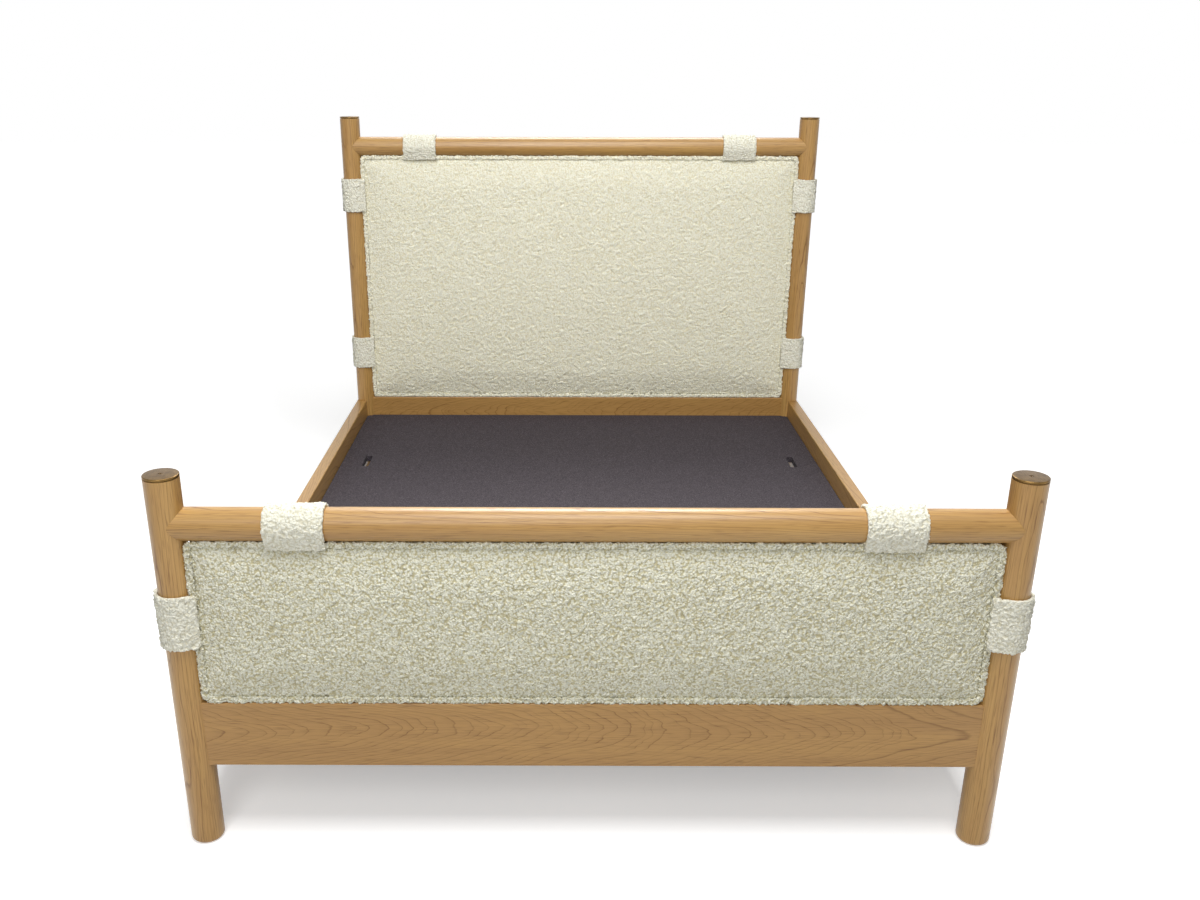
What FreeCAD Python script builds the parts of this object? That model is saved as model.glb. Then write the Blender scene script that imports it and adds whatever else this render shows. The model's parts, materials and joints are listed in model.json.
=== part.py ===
import FreeCAD, Part
import math
import os

import Sketcher
from FreeCAD import Placement, Rotation, Vector

# Oak bed frame with strapped soft pads at the head and the foot, for a mattress of 1524 by 2032.
# Origin on the floor under the middle of the bed, +Z up, the foot end towards -Y, lengths in mm.

SIZES = (
    # Posts
    ("post_spacing_x", 1580),
    ("post_spacing_y", 2120),
    ("post_radius", 33),
    ("foot_post_height", 791),
    ("head_post_height", 1315),
    ("post_foot_round", 10),
    # Caps on the posts and the screws that hold them
    ("cap_thickness", 5),
    ("cap_gap", 1.2),
    ("cap_neck_inset", 3),
    ("cap_rim_round", 2.5),
    ("spigot_radius", 11),
    ("spigot_length", 14),
    ("cap_screw_radius", 2),
    ("cap_screw_length", 32),
    ("cap_screw_head_radius", 4),
    ("cap_screw_head_height", 2.4),
    # Round top rails
    ("rail_radius", 32),
    ("rail_drop", 92),
    ("round_tenon_radius", 15),
    ("tenon_end_gap", 3),
    # Flat rails at the ends and the sides
    ("rail_bottom", 184),
    ("lower_rail_thickness", 40),
    ("side_rail_thickness", 36),
    ("side_rail_height", 132),
    ("rail_edge_round", 3),
    ("housing_offset", 12),
    ("flat_tenon_thickness", 16),
    ("flat_tenon_shoulder", 25),
    # Hook plates on the side rails and catch plates in the posts
    ("plate_width", 22),
    ("plate_height", 100),
    ("plate_thickness", 3),
    ("hook_margin", 27),
    ("hook_width", 4),
    ("hook_height", 12),
    ("hook_drop", 8),
    ("hook_lip", 4),
    # Cleats on the side rails and their screws
    ("cleat_width", 50),
    ("cleat_height", 30),
    ("cleat_screw_radius", 2.5),
    ("cleat_screw_length", 62),
    ("cleat_screw_head_radius", 5),
    ("cleat_screw_head_height", 3),
    ("cleat_screw_inset", 75),
    # Slats, centre beam and its stirrups
    ("slat_thickness", 22),
    ("slat_width", 70),
    ("beam_width", 70),
    ("beam_height", 36),
    ("stirrup_sheet", 2.5),
    ("stirrup_depth", 50),
    ("stirrup_ear", 22),
    # Centre legs and levelling glides
    ("leg_spacing", 1000),
    ("leg_radius", 24),
    ("leg_lift", 20),
    ("leg_tenon_radius", 11),
    ("leg_tenon_length", 25),
    ("glide_radius", 19),
    ("glide_thickness", 8),
    ("glide_chamfer", 2),
    ("glide_stem_radius", 5),
    ("glide_stem_length", 36),
    ("glide_travel", 10),
    # Deck panels
    ("deck_top", 259),
    ("deck_thickness", 18),
    ("slot_length", 100),
    ("slot_width", 22),
    ("slot_corner", 7),
    ("slot_inset", 83),
    # Pads
    ("pad_bottom", 328),
    ("pad_half_thickness", 20),
    ("pad_corner", 16),
    ("flange_width", 13),
    ("flange_thickness", 5),
    ("crown_height", 12),
    ("side_draw", 4),
    ("flange_draw", 1.5),
    ("board_thickness", 12),
    ("board_inset", 20),
    # Straps
    ("strap_width", 112),
    ("strap_thickness", 7),
    ("top_strap_inset", 239),
    ("foot_strap_raise", 8),
    ("head_strap_low_rise", 172),
    ("head_strap_high_drop", 134),
    # Fits
    ("joint_clearance", 0.2),
    ("soft_clearance", 0.3),
    ("stem_clearance", 0.3),
    ("panel_clearance", 2),
    ("overrun", 6),
)

SLAT_PAIRS = 3
CLEAT_SCREWS_PER_SIDE = 4
# How far in from the seam, and how high above it, each section of a pad's crown lies
CROWN_SHARES = ((0, 0), (0.06, 0.34), (0.22, 0.66), (0.5, 0.88), (1, 1))
# The part of the lower pad's height over which a crown rises from each of its sides
CROWN_RUN_SHARE = 0.225
# How far the middle of a small round lies from the corner that it takes off, as a share of its radius
ROUND_SHARE = 1 - math.sqrt(2) / 2

# Lines of the frame, written in the sizes above
HALF_X = "(Sizes.post_spacing_x / 2)"
HALF_Y = "(Sizes.post_spacing_y / 2)"
RAIL_OUTER = f"({HALF_X} + Sizes.post_radius)"
RAIL_INNER = f"({RAIL_OUTER} - Sizes.side_rail_thickness)"
RAIL_MIDDLE = f"({RAIL_OUTER} - Sizes.side_rail_thickness / 2)"
RAIL_TOP = "(Sizes.rail_bottom + Sizes.side_rail_height)"
HOUSING_FACE = f"({HALF_Y} - Sizes.housing_offset)"
RAIL_END = f"({HOUSING_FACE} - Sizes.joint_clearance)"
PLATE_MIDDLE = "(Sizes.rail_bottom + Sizes.side_rail_height / 2)"
LOWER_RAIL_FACE = f"({HALF_Y} - Sizes.lower_rail_thickness / 2)"
LOWER_RAIL_TOP = "(Sizes.pad_bottom - Sizes.soft_clearance)"
DECK_BOTTOM = "(Sizes.deck_top - Sizes.deck_thickness)"
SLAT_BOTTOM = f"({DECK_BOTTOM} - Sizes.slat_thickness)"
BEAM_BOTTOM = f"({SLAT_BOTTOM} - Sizes.beam_height)"
POST_FACE = f"({HALF_Y} - Sizes.post_radius - Sizes.panel_clearance)"
SLAT_PITCH = f"(({POST_FACE} - Sizes.slat_width / 2) / {SLAT_PAIRS})"
PANEL_END = f"({LOWER_RAIL_FACE} - Sizes.panel_clearance)"
PANEL_SIDE = f"({RAIL_INNER} - Sizes.panel_clearance)"
# A flange comes up to the round bars beside it, as close as its back edge lets it
FLANGE_BACK = "(Sizes.pad_half_thickness - Sizes.flange_thickness)"
POST_ROOM = f"(sqrt(Sizes.post_radius ^ 2 - {FLANGE_BACK} ^ 2) + Sizes.soft_clearance)"
RAIL_ROOM = f"(sqrt(Sizes.rail_radius ^ 2 - {FLANGE_BACK} ^ 2) + Sizes.soft_clearance)"
PAD_SIDE = f"({HALF_X} - {POST_ROOM})"

POST_HEIGHT = {"foot": "Sizes.foot_post_height", "head": "Sizes.head_post_height"}
# The side of the middle that each end lies on
END_SIGN = {"foot": "-1", "head": "1"}

TURNED_TO = {"x": Rotation(Vector(0, 1, 0), 90), "z": Rotation()}

doc = FreeCAD.newDocument("Bed")
sheet = doc.addObject("Spreadsheet::Sheet", "Sizes")
for row, (alias, number) in enumerate(SIZES, 1):
    sheet.set(f"A{row}", alias)
    sheet.set(f"B{row}", str(number))
    sheet.setAlias(f"B{row}", alias)
doc.recompute()

sub_parts = []


def value(expression):
    """The number that an expression in the sheet's sizes gives."""
    return float(sheet.evalExpression(expression))


def keep(item, label):
    """Names an object as a sub-part of the bed."""
    item.Label = label
    sub_parts.append(item)
    return item


def place(item, x, y, z):
    """Binds an object's place to three expressions."""
    for axis, expression in zip("xyz", (x, y, z)):
        item.setExpression(f"Placement.Base.{axis}", expression)
    return item


def box(name, span_x, span_y, span_z):
    """A box between a low and a high expression on each axis."""
    item = doc.addObject("Part::Box", name)
    spans = (span_x, span_y, span_z)
    for length, (low, high) in zip(("Length", "Width", "Height"), spans):
        item.setExpression(length, f"({high}) - ({low})")
    return place(item, *(low for low, high in spans))


def about(middle, half):
    """The low and high expressions of a span about its middle."""
    return f"({middle}) - ({half})", f"({middle}) + ({half})"


def between(sign, near, far):
    """A span on one side of the bed's middle, lower end first."""
    if sign == "1":
        return near, far
    return f"-({far})", f"-({near})"


def cylinder(name, axis, radius, start, length):
    """A cylinder that runs up its axis from the middle of its first end."""
    item = doc.addObject("Part::Cylinder", name)
    item.setExpression("Radius", radius)
    item.setExpression("Height", length)
    item.Placement = Placement(Vector(), TURNED_TO[axis])
    return place(item, *start)


def fused(name, pieces):
    """One solid, or one set of cutters, from several."""
    item = doc.addObject("Part::MultiFuse", name)
    item.Shapes = pieces
    return item


def cut(name, base, tools):
    """What is left of a piece after its cutters."""
    item = doc.addObject("Part::Cut", name)
    item.Base = base
    item.Tool = fused(f"{name}_cutters", tools) if len(tools) > 1 else tools[0]
    return item


def mirrored(name, source, normal):
    """A mirror copy across a middle plane of the bed."""
    item = doc.addObject("Part::Mirroring", name)
    item.Source = source
    item.Normal = normal
    return item


def group(name, pieces):
    """Separate solids that share one sub-part."""
    item = doc.addObject("Part::Compound", name)
    item.Links = pieces
    return item


def keep_pair(make, name):
    """Keeps a left-hand piece and its mirror copy on the right."""
    left = keep(make, f"{name}_left")
    keep(mirrored(f"{name}_mirrored", left, Vector(1, 0, 0)), f"{name}_right")
    return left


def four_corners(name, piece):
    """A group of a piece of the left foot corner and its copies at the other corners."""
    right = mirrored(f"{name}_right", piece, Vector(1, 0, 0))
    pair = [piece, right]
    ends = [mirrored(f"{name}_head_{side}", item, Vector(0, 1, 0)) for side, item in enumerate(pair)]
    return group(name, pair + ends)


def rounded(name, base, direction, radius):
    """Rounds the straight edges of a piece that run along a direction."""
    doc.recompute()
    item = doc.addObject("Part::Fillet", name)
    item.Base = base
    size = value(radius)
    picked = []
    for number, edge in enumerate(base.Shape.Edges, 1):
        straight = edge.Curve.TypeId == "Part::GeomLine"
        if straight and edge.Curve.Direction.cross(direction).Length < Part.Precision.confusion():
            picked.append((number, size, size))
    item.Edges = picked
    return item


def sketch_on(body, role):
    """A sketch on one of a body's own origin planes."""
    sketch = body.newObject("Sketcher::SketchObject", f"{body.Name}_sketch")
    plane = [item for item in body.Origin.OriginFeatures if item.Role == role][0]
    sketch.AttachmentSupport = [(plane, "")]
    sketch.MapMode = "FlatFace"
    return sketch


def hold(sketch, constraint, expression):
    """Adds a constraint whose size follows an expression."""
    index = sketch.addConstraint(constraint)
    sketch.setExpression(f"Constraints[{index}]", expression)


def turned(name, outline):
    """A turned piece from half its outline, anticlockwise from the axis at the bottom.

    Each corner is its radius, its height and, where the line to it is a round, the radius at
    which the round's centre lies.
    """
    body = doc.addObject("PartDesign::Body", name)
    sketch = sketch_on(body, "XZ_Plane")
    corners = [Vector(value(corner[0]), value(corner[1]), 0) for corner in outline]
    count = len(outline)
    for index in range(count):
        start = corners[index]
        following = (index + 1) % count
        end = corners[following]
        if len(outline[following]) == 3:
            middle = Vector(value(outline[following][2]), 0, 0)
            middle.y = end.y if abs(end.x - middle.x) > abs(start.x - middle.x) else start.y
            circle = Part.Circle(middle, Vector(0, 0, 1), (start - middle).Length)
            angles = [math.atan2(point.y - middle.y, point.x - middle.x) for point in (start, end)]
            sketch.addGeometry(Part.ArcOfCircle(circle, *angles))
        else:
            sketch.addGeometry(Part.LineSegment(start, end))
    for index in range(count):
        sketch.addConstraint(Sketcher.Constraint("Coincident", index, 2, (index + 1) % count, 1))
    for index, corner in enumerate(outline):
        point = corners[index]
        if corner[0] == "0":
            sketch.addConstraint(Sketcher.Constraint("PointOnObject", index, 1, -2))
        else:
            hold(sketch, Sketcher.Constraint("DistanceX", -1, 1, index, 1, point.x), corner[0])
        if corner[1] == "0":
            sketch.addConstraint(Sketcher.Constraint("PointOnObject", index, 1, -1))
        else:
            hold(sketch, Sketcher.Constraint("DistanceY", -1, 1, index, 1, point.y), corner[1])
        if len(corner) == 3:
            centre = value(corner[2])
            hold(sketch, Sketcher.Constraint("DistanceX", -1, 1, index - 1, 3, centre), corner[2])
    revolution = body.newObject("PartDesign::Revolution", f"{name}_turning")
    revolution.Profile = sketch
    revolution.ReferenceAxis = (sketch, ["V_Axis"])
    return body


def rail_axis(end):
    """Height of a top rail's axis."""
    return f"({POST_HEIGHT[end]} - Sizes.rail_drop)"


def pad_top(end):
    """Height of the upper edge of a pad's flange."""
    return f"({rail_axis(end)} - {RAIL_ROOM})"


def end_line(end):
    """Place along the bed of the line through an end's two posts."""
    return f"({END_SIGN[end]} * {HALF_Y})"


def hook_heights():
    """Undersides of the two hooks of a plate."""
    spread = "(Sizes.plate_height / 2 - Sizes.hook_margin)"
    return [f"({PLATE_MIDDLE} + ({side}) * {spread})" for side in ("-1", "1")]


def post(end):
    """A turned post with its mortises, its housing for the side rail and its cap socket."""
    name = f"post_{end}"
    sign = END_SIGN[end]
    height = POST_HEIGHT[end]
    line = end_line(end)
    blank = turned(f"{name}_blank", [
        ("0", "0"),
        ("Sizes.post_radius - Sizes.post_foot_round", "0"),
        ("Sizes.post_radius", "Sizes.post_foot_round", "Sizes.post_radius - Sizes.post_foot_round"),
        ("Sizes.post_radius", height),
        ("0", height),
    ])
    place(blank, f"-{HALF_X}", line, "0")
    mortise_x = (f"-{HALF_X}", f"-{HALF_X} + Sizes.post_radius + Sizes.overrun")
    catch_back = f"({HOUSING_FACE} + Sizes.plate_thickness + Sizes.joint_clearance)"
    hook_back = f"({catch_back} + Sizes.hook_lip + 2 * Sizes.joint_clearance)"
    hook_x = about(f"-{RAIL_MIDDLE}", "Sizes.hook_width / 2 + Sizes.joint_clearance")
    tools = [
        cylinder(f"{name}_rail_mortise", "x", "Sizes.round_tenon_radius + Sizes.joint_clearance",
                 (f"-{HALF_X}", line, rail_axis(end)), "Sizes.post_radius + Sizes.overrun"),
        box(f"{name}_board_mortise", mortise_x,
            about(line, "Sizes.flat_tenon_thickness / 2 + Sizes.joint_clearance"),
            ("Sizes.rail_bottom + Sizes.flat_tenon_shoulder - Sizes.joint_clearance",
             f"{LOWER_RAIL_TOP} - Sizes.flat_tenon_shoulder + Sizes.joint_clearance")),
        box(f"{name}_housing",
            (f"-{RAIL_OUTER} - Sizes.overrun", f"-{RAIL_INNER} + Sizes.joint_clearance"),
            between(sign, f"{HALF_Y} - Sizes.post_radius - Sizes.overrun", HOUSING_FACE),
            ("Sizes.rail_bottom - Sizes.joint_clearance", f"{RAIL_TOP} + Sizes.joint_clearance")),
        box(f"{name}_catch_recess",
            about(f"-{RAIL_MIDDLE}", "Sizes.plate_width / 2 + Sizes.joint_clearance"),
            between(sign, f"{HOUSING_FACE} - Sizes.joint_clearance", catch_back),
            about(PLATE_MIDDLE, "Sizes.plate_height / 2 + Sizes.joint_clearance")),
        cylinder(f"{name}_socket", "z", "Sizes.spigot_radius + Sizes.joint_clearance",
                 (f"-{HALF_X}", line, f"{height} - Sizes.spigot_length - Sizes.joint_clearance"),
                 "Sizes.spigot_length + Sizes.overrun"),
        cylinder(f"{name}_screw_bore", "z", "Sizes.cap_screw_radius + Sizes.joint_clearance",
                 (f"-{HALF_X}", line, f"{height} - Sizes.cap_screw_length"),
                 "Sizes.cap_screw_length"),
    ]
    for number, underside in enumerate(hook_heights(), 1):
        tools.append(box(
            f"{name}_hook_cavity_{number}", hook_x,
            between(sign, f"{catch_back} - Sizes.joint_clearance", hook_back),
            (f"{underside} - Sizes.hook_drop - Sizes.joint_clearance",
             f"{underside} + Sizes.hook_height + Sizes.hook_drop")))
    keep_pair(cut(f"{name}_joined", blank, tools), name)


def cap(end):
    """A metal cap with a rim rounded in two steps, a shadow gap under it and a spigot into the post."""
    name = f"cap_{end}"
    step = f"({ROUND_SHARE} * Sizes.cap_rim_round)"
    rim = "(Sizes.spigot_length + Sizes.cap_gap)"
    top = f"({rim} + Sizes.cap_thickness)"
    bore = "(Sizes.cap_screw_radius + Sizes.joint_clearance)"
    seat = "(Sizes.cap_screw_head_radius + Sizes.joint_clearance)"
    item = turned(name, [
        (bore, "0"),
        ("Sizes.spigot_radius", "0"),
        ("Sizes.spigot_radius", "Sizes.spigot_length"),
        ("Sizes.post_radius - Sizes.cap_neck_inset", "Sizes.spigot_length"),
        ("Sizes.post_radius - Sizes.cap_neck_inset", rim),
        ("Sizes.post_radius", rim),
        ("Sizes.post_radius", f"{top} - Sizes.cap_rim_round"),
        (f"Sizes.post_radius - {step}", f"{top} - {step}"),
        ("Sizes.post_radius - Sizes.cap_rim_round", top),
        (seat, top),
        (bore, f"{top} - Sizes.cap_screw_head_height - Sizes.joint_clearance"),
    ])
    place(item, f"-{HALF_X}", end_line(end), f"{POST_HEIGHT[end]} - Sizes.spigot_length")
    keep_pair(item, name)


def cap_screws():
    """The countersunk screws in the middles of the caps."""
    screws = []
    for end, height in POST_HEIGHT.items():
        shank = "(Sizes.cap_screw_length - Sizes.cap_screw_head_height)"
        screw = turned(f"cap_screw_{end}", [
            ("0", "0"),
            ("Sizes.cap_screw_radius", "0"),
            ("Sizes.cap_screw_radius", shank),
            ("Sizes.cap_screw_head_radius", "Sizes.cap_screw_length"),
            ("0", "Sizes.cap_screw_length"),
        ])
        cap_top = f"{height} + Sizes.cap_gap + Sizes.cap_thickness"
        place(screw, f"-{HALF_X}", end_line(end), f"{cap_top} - Sizes.cap_screw_length")
        screws.append(screw)
        screws.append(mirrored(f"cap_screw_{end}_right", screw, Vector(1, 0, 0)))
    keep(group("cap_screw_group", screws), "cap_screws")


def post_copes(name, line):
    """Cutters of a post's shape at both ends of a rail, with the clearance of a close joint."""
    copes = []
    for side in ("-1", "1"):
        copes.append(cylinder(
            f"{name}_cope_{len(copes)}", "z", "Sizes.post_radius + Sizes.joint_clearance",
            (f"{side} * {HALF_X}", line, "0"), "Sizes.head_post_height"))
    return copes


def top_rail(end):
    """A round rail whose ends are saddled on the posts, with a round tenon into each."""
    name = f"top_rail_{end}"
    line = end_line(end)
    axis = rail_axis(end)
    bar = cylinder(f"{name}_bar", "x", "Sizes.rail_radius", (f"-{HALF_X}", line, axis),
                   "Sizes.post_spacing_x")
    saddled = cut(f"{name}_saddled", bar, post_copes(name, line))
    tenons = cylinder(f"{name}_tenons", "x", "Sizes.round_tenon_radius",
                      (f"-{HALF_X} + Sizes.tenon_end_gap", line, axis),
                      "Sizes.post_spacing_x - 2 * Sizes.tenon_end_gap")
    keep(fused(f"{name}_joined", [saddled, tenons]), name)


def lower_rail(end):
    """A flat board coped to the posts, with a flat tenon into each."""
    name = f"lower_rail_{end}"
    line = end_line(end)
    board = box(f"{name}_board", about("0", HALF_X), about(line, "Sizes.lower_rail_thickness / 2"),
                ("Sizes.rail_bottom", LOWER_RAIL_TOP))
    eased = rounded(f"{name}_eased", board, Vector(1, 0, 0), "Sizes.rail_edge_round")
    coped = cut(f"{name}_coped", eased, post_copes(name, line))
    tenons = box(f"{name}_tenons", about("0", f"{HALF_X} - Sizes.tenon_end_gap"),
                 about(line, "Sizes.flat_tenon_thickness / 2"),
                 ("Sizes.rail_bottom + Sizes.flat_tenon_shoulder",
                  f"{LOWER_RAIL_TOP} - Sizes.flat_tenon_shoulder"))
    keep(fused(f"{name}_joined", [coped, tenons]), name)


def cleat_screw_places():
    """Places along the bed of the screws through a cleat, spread evenly between its end ones."""
    reach = f"({POST_FACE} - Sizes.cleat_screw_inset)"
    gaps = CLEAT_SCREWS_PER_SIDE - 1
    return [f"({2 * number / gaps - 1}) * {reach}" for number in range(CLEAT_SCREWS_PER_SIDE)]


CLEAT_MIDDLE = f"({SLAT_BOTTOM} - Sizes.cleat_height / 2)"
CLEAT_INNER = f"({RAIL_INNER} - Sizes.cleat_width)"
SCREW_HEAD_FACE = f"({CLEAT_INNER} + Sizes.cleat_screw_head_height)"


def cleat_bores(name):
    """Bores for the cleat's screws, through the cleat and into the rail."""
    bores = []
    for number, spot in enumerate(cleat_screw_places(), 1):
        tip = f"-{SCREW_HEAD_FACE} - Sizes.cleat_screw_length - Sizes.joint_clearance"
        bores.append(cylinder(
            f"{name}_bore_{number}", "x", "Sizes.cleat_screw_radius + Sizes.joint_clearance",
            (tip, spot, CLEAT_MIDDLE), "Sizes.cleat_screw_length + Sizes.overrun"))
    return bores


def side_rail():
    """A side rail with eased edges, recessed at its ends for the hook plates."""
    board = box("side_rail_board", (f"-{RAIL_OUTER}", f"-{RAIL_INNER}"), about("0", RAIL_END),
                ("Sizes.rail_bottom", RAIL_TOP))
    eased = rounded("side_rail_eased", board, Vector(0, 1, 0), "Sizes.rail_edge_round")
    tools = cleat_bores("side_rail")
    recess = f"{RAIL_END} - Sizes.plate_thickness - Sizes.joint_clearance"
    for sign in END_SIGN.values():
        tools.append(box(
            f"side_rail_recess_{len(tools)}",
            about(f"-{RAIL_MIDDLE}", "Sizes.plate_width / 2 + Sizes.joint_clearance"),
            between(sign, recess, f"{RAIL_END} + Sizes.overrun"),
            about(PLATE_MIDDLE, "Sizes.plate_height / 2 + Sizes.joint_clearance")))
    keep_pair(cut("side_rail_recessed", eased, tools), "side_rail")


def hook_plates():
    """Plates on the ends of the side rails, each with two hooks that drop behind the catch plate."""
    plate_x = about(f"-{RAIL_MIDDLE}", "Sizes.plate_width / 2")
    hook_x = about(f"-{RAIL_MIDDLE}", "Sizes.hook_width / 2")
    lip_front = f"({HOUSING_FACE} + Sizes.plate_thickness + Sizes.joint_clearance)"
    lip_back = f"({lip_front} + Sizes.hook_lip)"
    pieces = [box("hook_plate_flat", plate_x,
                  between("-1", f"{RAIL_END} - Sizes.plate_thickness", RAIL_END),
                  about(PLATE_MIDDLE, "Sizes.plate_height / 2"))]
    for number, underside in enumerate(hook_heights(), 1):
        pieces.append(box(f"hook_arm_{number}", hook_x,
                          between("-1", f"{RAIL_END} - Sizes.plate_thickness", lip_back),
                          (underside, f"{underside} + Sizes.hook_height")))
        pieces.append(box(f"hook_lip_{number}", hook_x, between("-1", lip_front, lip_back),
                          (f"{underside} - Sizes.hook_drop", f"{underside} + Sizes.hook_height")))
    keep(four_corners("hook_plate_group", fused("hook_plate", pieces)), "hook_plates")


def catch_plates():
    """Slotted plates let into the posts, which the side rails' hooks hang in."""
    flat = box("catch_plate_flat", about(f"-{RAIL_MIDDLE}", "Sizes.plate_width / 2"),
               between("-1", HOUSING_FACE, f"{HOUSING_FACE} + Sizes.plate_thickness"),
               about(PLATE_MIDDLE, "Sizes.plate_height / 2"))
    slots = []
    for number, underside in enumerate(hook_heights(), 1):
        slots.append(box(
            f"catch_slot_{number}",
            about(f"-{RAIL_MIDDLE}", "Sizes.hook_width / 2 + Sizes.joint_clearance"),
            between("-1", f"{HOUSING_FACE} - Sizes.overrun",
                    f"{HOUSING_FACE} + Sizes.plate_thickness + Sizes.overrun"),
            (f"{underside} - Sizes.joint_clearance",
             f"{underside} + Sizes.hook_height + Sizes.hook_drop")))
    keep(four_corners("catch_plate_group", cut("catch_plate", flat, slots)), "catch_plates")


def cleat():
    """A cleat screwed along the inside of a side rail, which the slats rest on."""
    strip = box("cleat_strip", (f"-{RAIL_INNER}", f"-{CLEAT_INNER}"), about("0", POST_FACE),
                (f"{SLAT_BOTTOM} - Sizes.cleat_height", SLAT_BOTTOM))
    tools = cleat_bores("cleat")
    for number, spot in enumerate(cleat_screw_places(), 1):
        tools.append(cylinder(
            f"cleat_counterbore_{number}", "x", "Sizes.cleat_screw_head_radius + Sizes.joint_clearance",
            (f"-{SCREW_HEAD_FACE}", spot, CLEAT_MIDDLE),
            "Sizes.cleat_screw_head_height + Sizes.overrun"))
    keep_pair(cut("cleat_bored", strip, tools), "cleat")


def cleat_screws():
    """The screws that hold both cleats."""
    screws = []
    for number, spot in enumerate(cleat_screw_places(), 1):
        shank = cylinder(f"cleat_screw_shank_{number}", "x", "Sizes.cleat_screw_radius",
                         (f"-{SCREW_HEAD_FACE} - Sizes.cleat_screw_length", spot, CLEAT_MIDDLE),
                         "Sizes.cleat_screw_length")
        head = cylinder(f"cleat_screw_head_{number}", "x", "Sizes.cleat_screw_head_radius",
                        (f"-{SCREW_HEAD_FACE}", spot, CLEAT_MIDDLE), "Sizes.cleat_screw_head_height")
        screw = fused(f"cleat_screw_{number}", [shank, head])
        screws.append(screw)
        screws.append(mirrored(f"cleat_screw_right_{number}", screw, Vector(1, 0, 0)))
    keep(group("cleat_screw_group", screws), "cleat_screws")


def slats():
    """The cross slats, from cleat to cleat and over the centre beam."""
    for number in range(2 * SLAT_PAIRS + 1):
        middle = f"({number - SLAT_PAIRS}) * {SLAT_PITCH}"
        slat = box(f"slat_blank_{number + 1}", about("0", PANEL_SIDE),
                   about(middle, "Sizes.slat_width / 2"), (SLAT_BOTTOM, DECK_BOTTOM))
        keep(slat, f"slat_{number + 1}")


def leg_places():
    """Places along the bed of the centre legs, foot end first."""
    return {end: f"({sign} * Sizes.leg_spacing / 2)" for end, sign in END_SIGN.items()}


def centre_beam():
    """The beam under the slats, bored for the tenons of its legs."""
    reach = f"({LOWER_RAIL_FACE} - Sizes.stirrup_sheet - Sizes.panel_clearance)"
    beam = box("centre_beam_blank", about("0", "Sizes.beam_width / 2"), about("0", reach),
               (BEAM_BOTTOM, SLAT_BOTTOM))
    sockets = [
        cylinder(f"centre_beam_socket_{end}", "z", "Sizes.leg_tenon_radius + Sizes.joint_clearance",
                 ("0", spot, f"{BEAM_BOTTOM} - Sizes.overrun"),
                 "Sizes.leg_tenon_length + Sizes.joint_clearance + Sizes.overrun")
        for end, spot in leg_places().items()]
    keep(cut("centre_beam_bored", beam, sockets), "centre_beam")


def stirrups():
    """Sheet steel stirrups on the lower rails, one under each end of the centre beam."""
    inside = "(Sizes.beam_width / 2 + Sizes.joint_clearance)"
    outside = f"({inside} + Sizes.stirrup_sheet)"
    floor = f"({BEAM_BOTTOM} - Sizes.stirrup_sheet)"
    wall_top = f"({SLAT_BOTTOM} - Sizes.stirrup_sheet)"
    cradle_y = between("-1", f"{LOWER_RAIL_FACE} - Sizes.stirrup_depth", LOWER_RAIL_FACE)
    back_y = between("-1", f"{LOWER_RAIL_FACE} - Sizes.stirrup_sheet", LOWER_RAIL_FACE)
    pieces = [
        box("stirrup_floor", about("0", outside), cradle_y, (floor, BEAM_BOTTOM)),
        box("stirrup_wall_left", (f"-{outside}", f"-{inside}"), cradle_y, (floor, wall_top)),
        box("stirrup_wall_right", (inside, outside), cradle_y, (floor, wall_top)),
        box("stirrup_back", about("0", f"{outside} + Sizes.stirrup_ear"), back_y, (floor, wall_top)),
    ]
    foot = fused("stirrup_foot", pieces)
    head = mirrored("stirrup_head", foot, Vector(0, 1, 0))
    keep(group("stirrup_group", [foot, head]), "beam_stirrups")


def centre_leg(end, spot):
    """A turned centre leg, with a tenon into the beam and a bore for its glide."""
    name = f"centre_leg_{end}"
    shoulder = f"({BEAM_BOTTOM} - Sizes.leg_lift)"
    bore = "(Sizes.glide_stem_radius + Sizes.stem_clearance)"
    stem_top = "(Sizes.glide_thickness + Sizes.glide_stem_length + Sizes.glide_travel)"
    bore_top = f"({stem_top} + Sizes.stem_clearance - Sizes.leg_lift)"
    leg = turned(name, [
        (bore, "0"),
        ("Sizes.leg_radius", "0"),
        ("Sizes.leg_radius", shoulder),
        ("Sizes.leg_tenon_radius", shoulder),
        ("Sizes.leg_tenon_radius", f"{shoulder} + Sizes.leg_tenon_length"),
        ("0", f"{shoulder} + Sizes.leg_tenon_length"),
        ("0", bore_top),
        (bore, bore_top),
    ])
    place(leg, "0", spot, "Sizes.leg_lift")
    keep(leg, name)


def glide(end, spot):
    """A levelling glide: a round foot on a stem that screws into the leg."""
    name = f"glide_{end}"
    item = turned(name, [
        ("0", "0"),
        ("Sizes.glide_radius - Sizes.glide_chamfer", "0"),
        ("Sizes.glide_radius", "Sizes.glide_chamfer"),
        ("Sizes.glide_radius", "Sizes.glide_thickness"),
        ("Sizes.glide_stem_radius", "Sizes.glide_thickness"),
        ("Sizes.glide_stem_radius", "Sizes.glide_thickness + Sizes.glide_stem_length"),
        ("0", "Sizes.glide_thickness + Sizes.glide_stem_length"),
    ])
    place(item, "0", spot, "0")
    keep(item, name)


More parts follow.
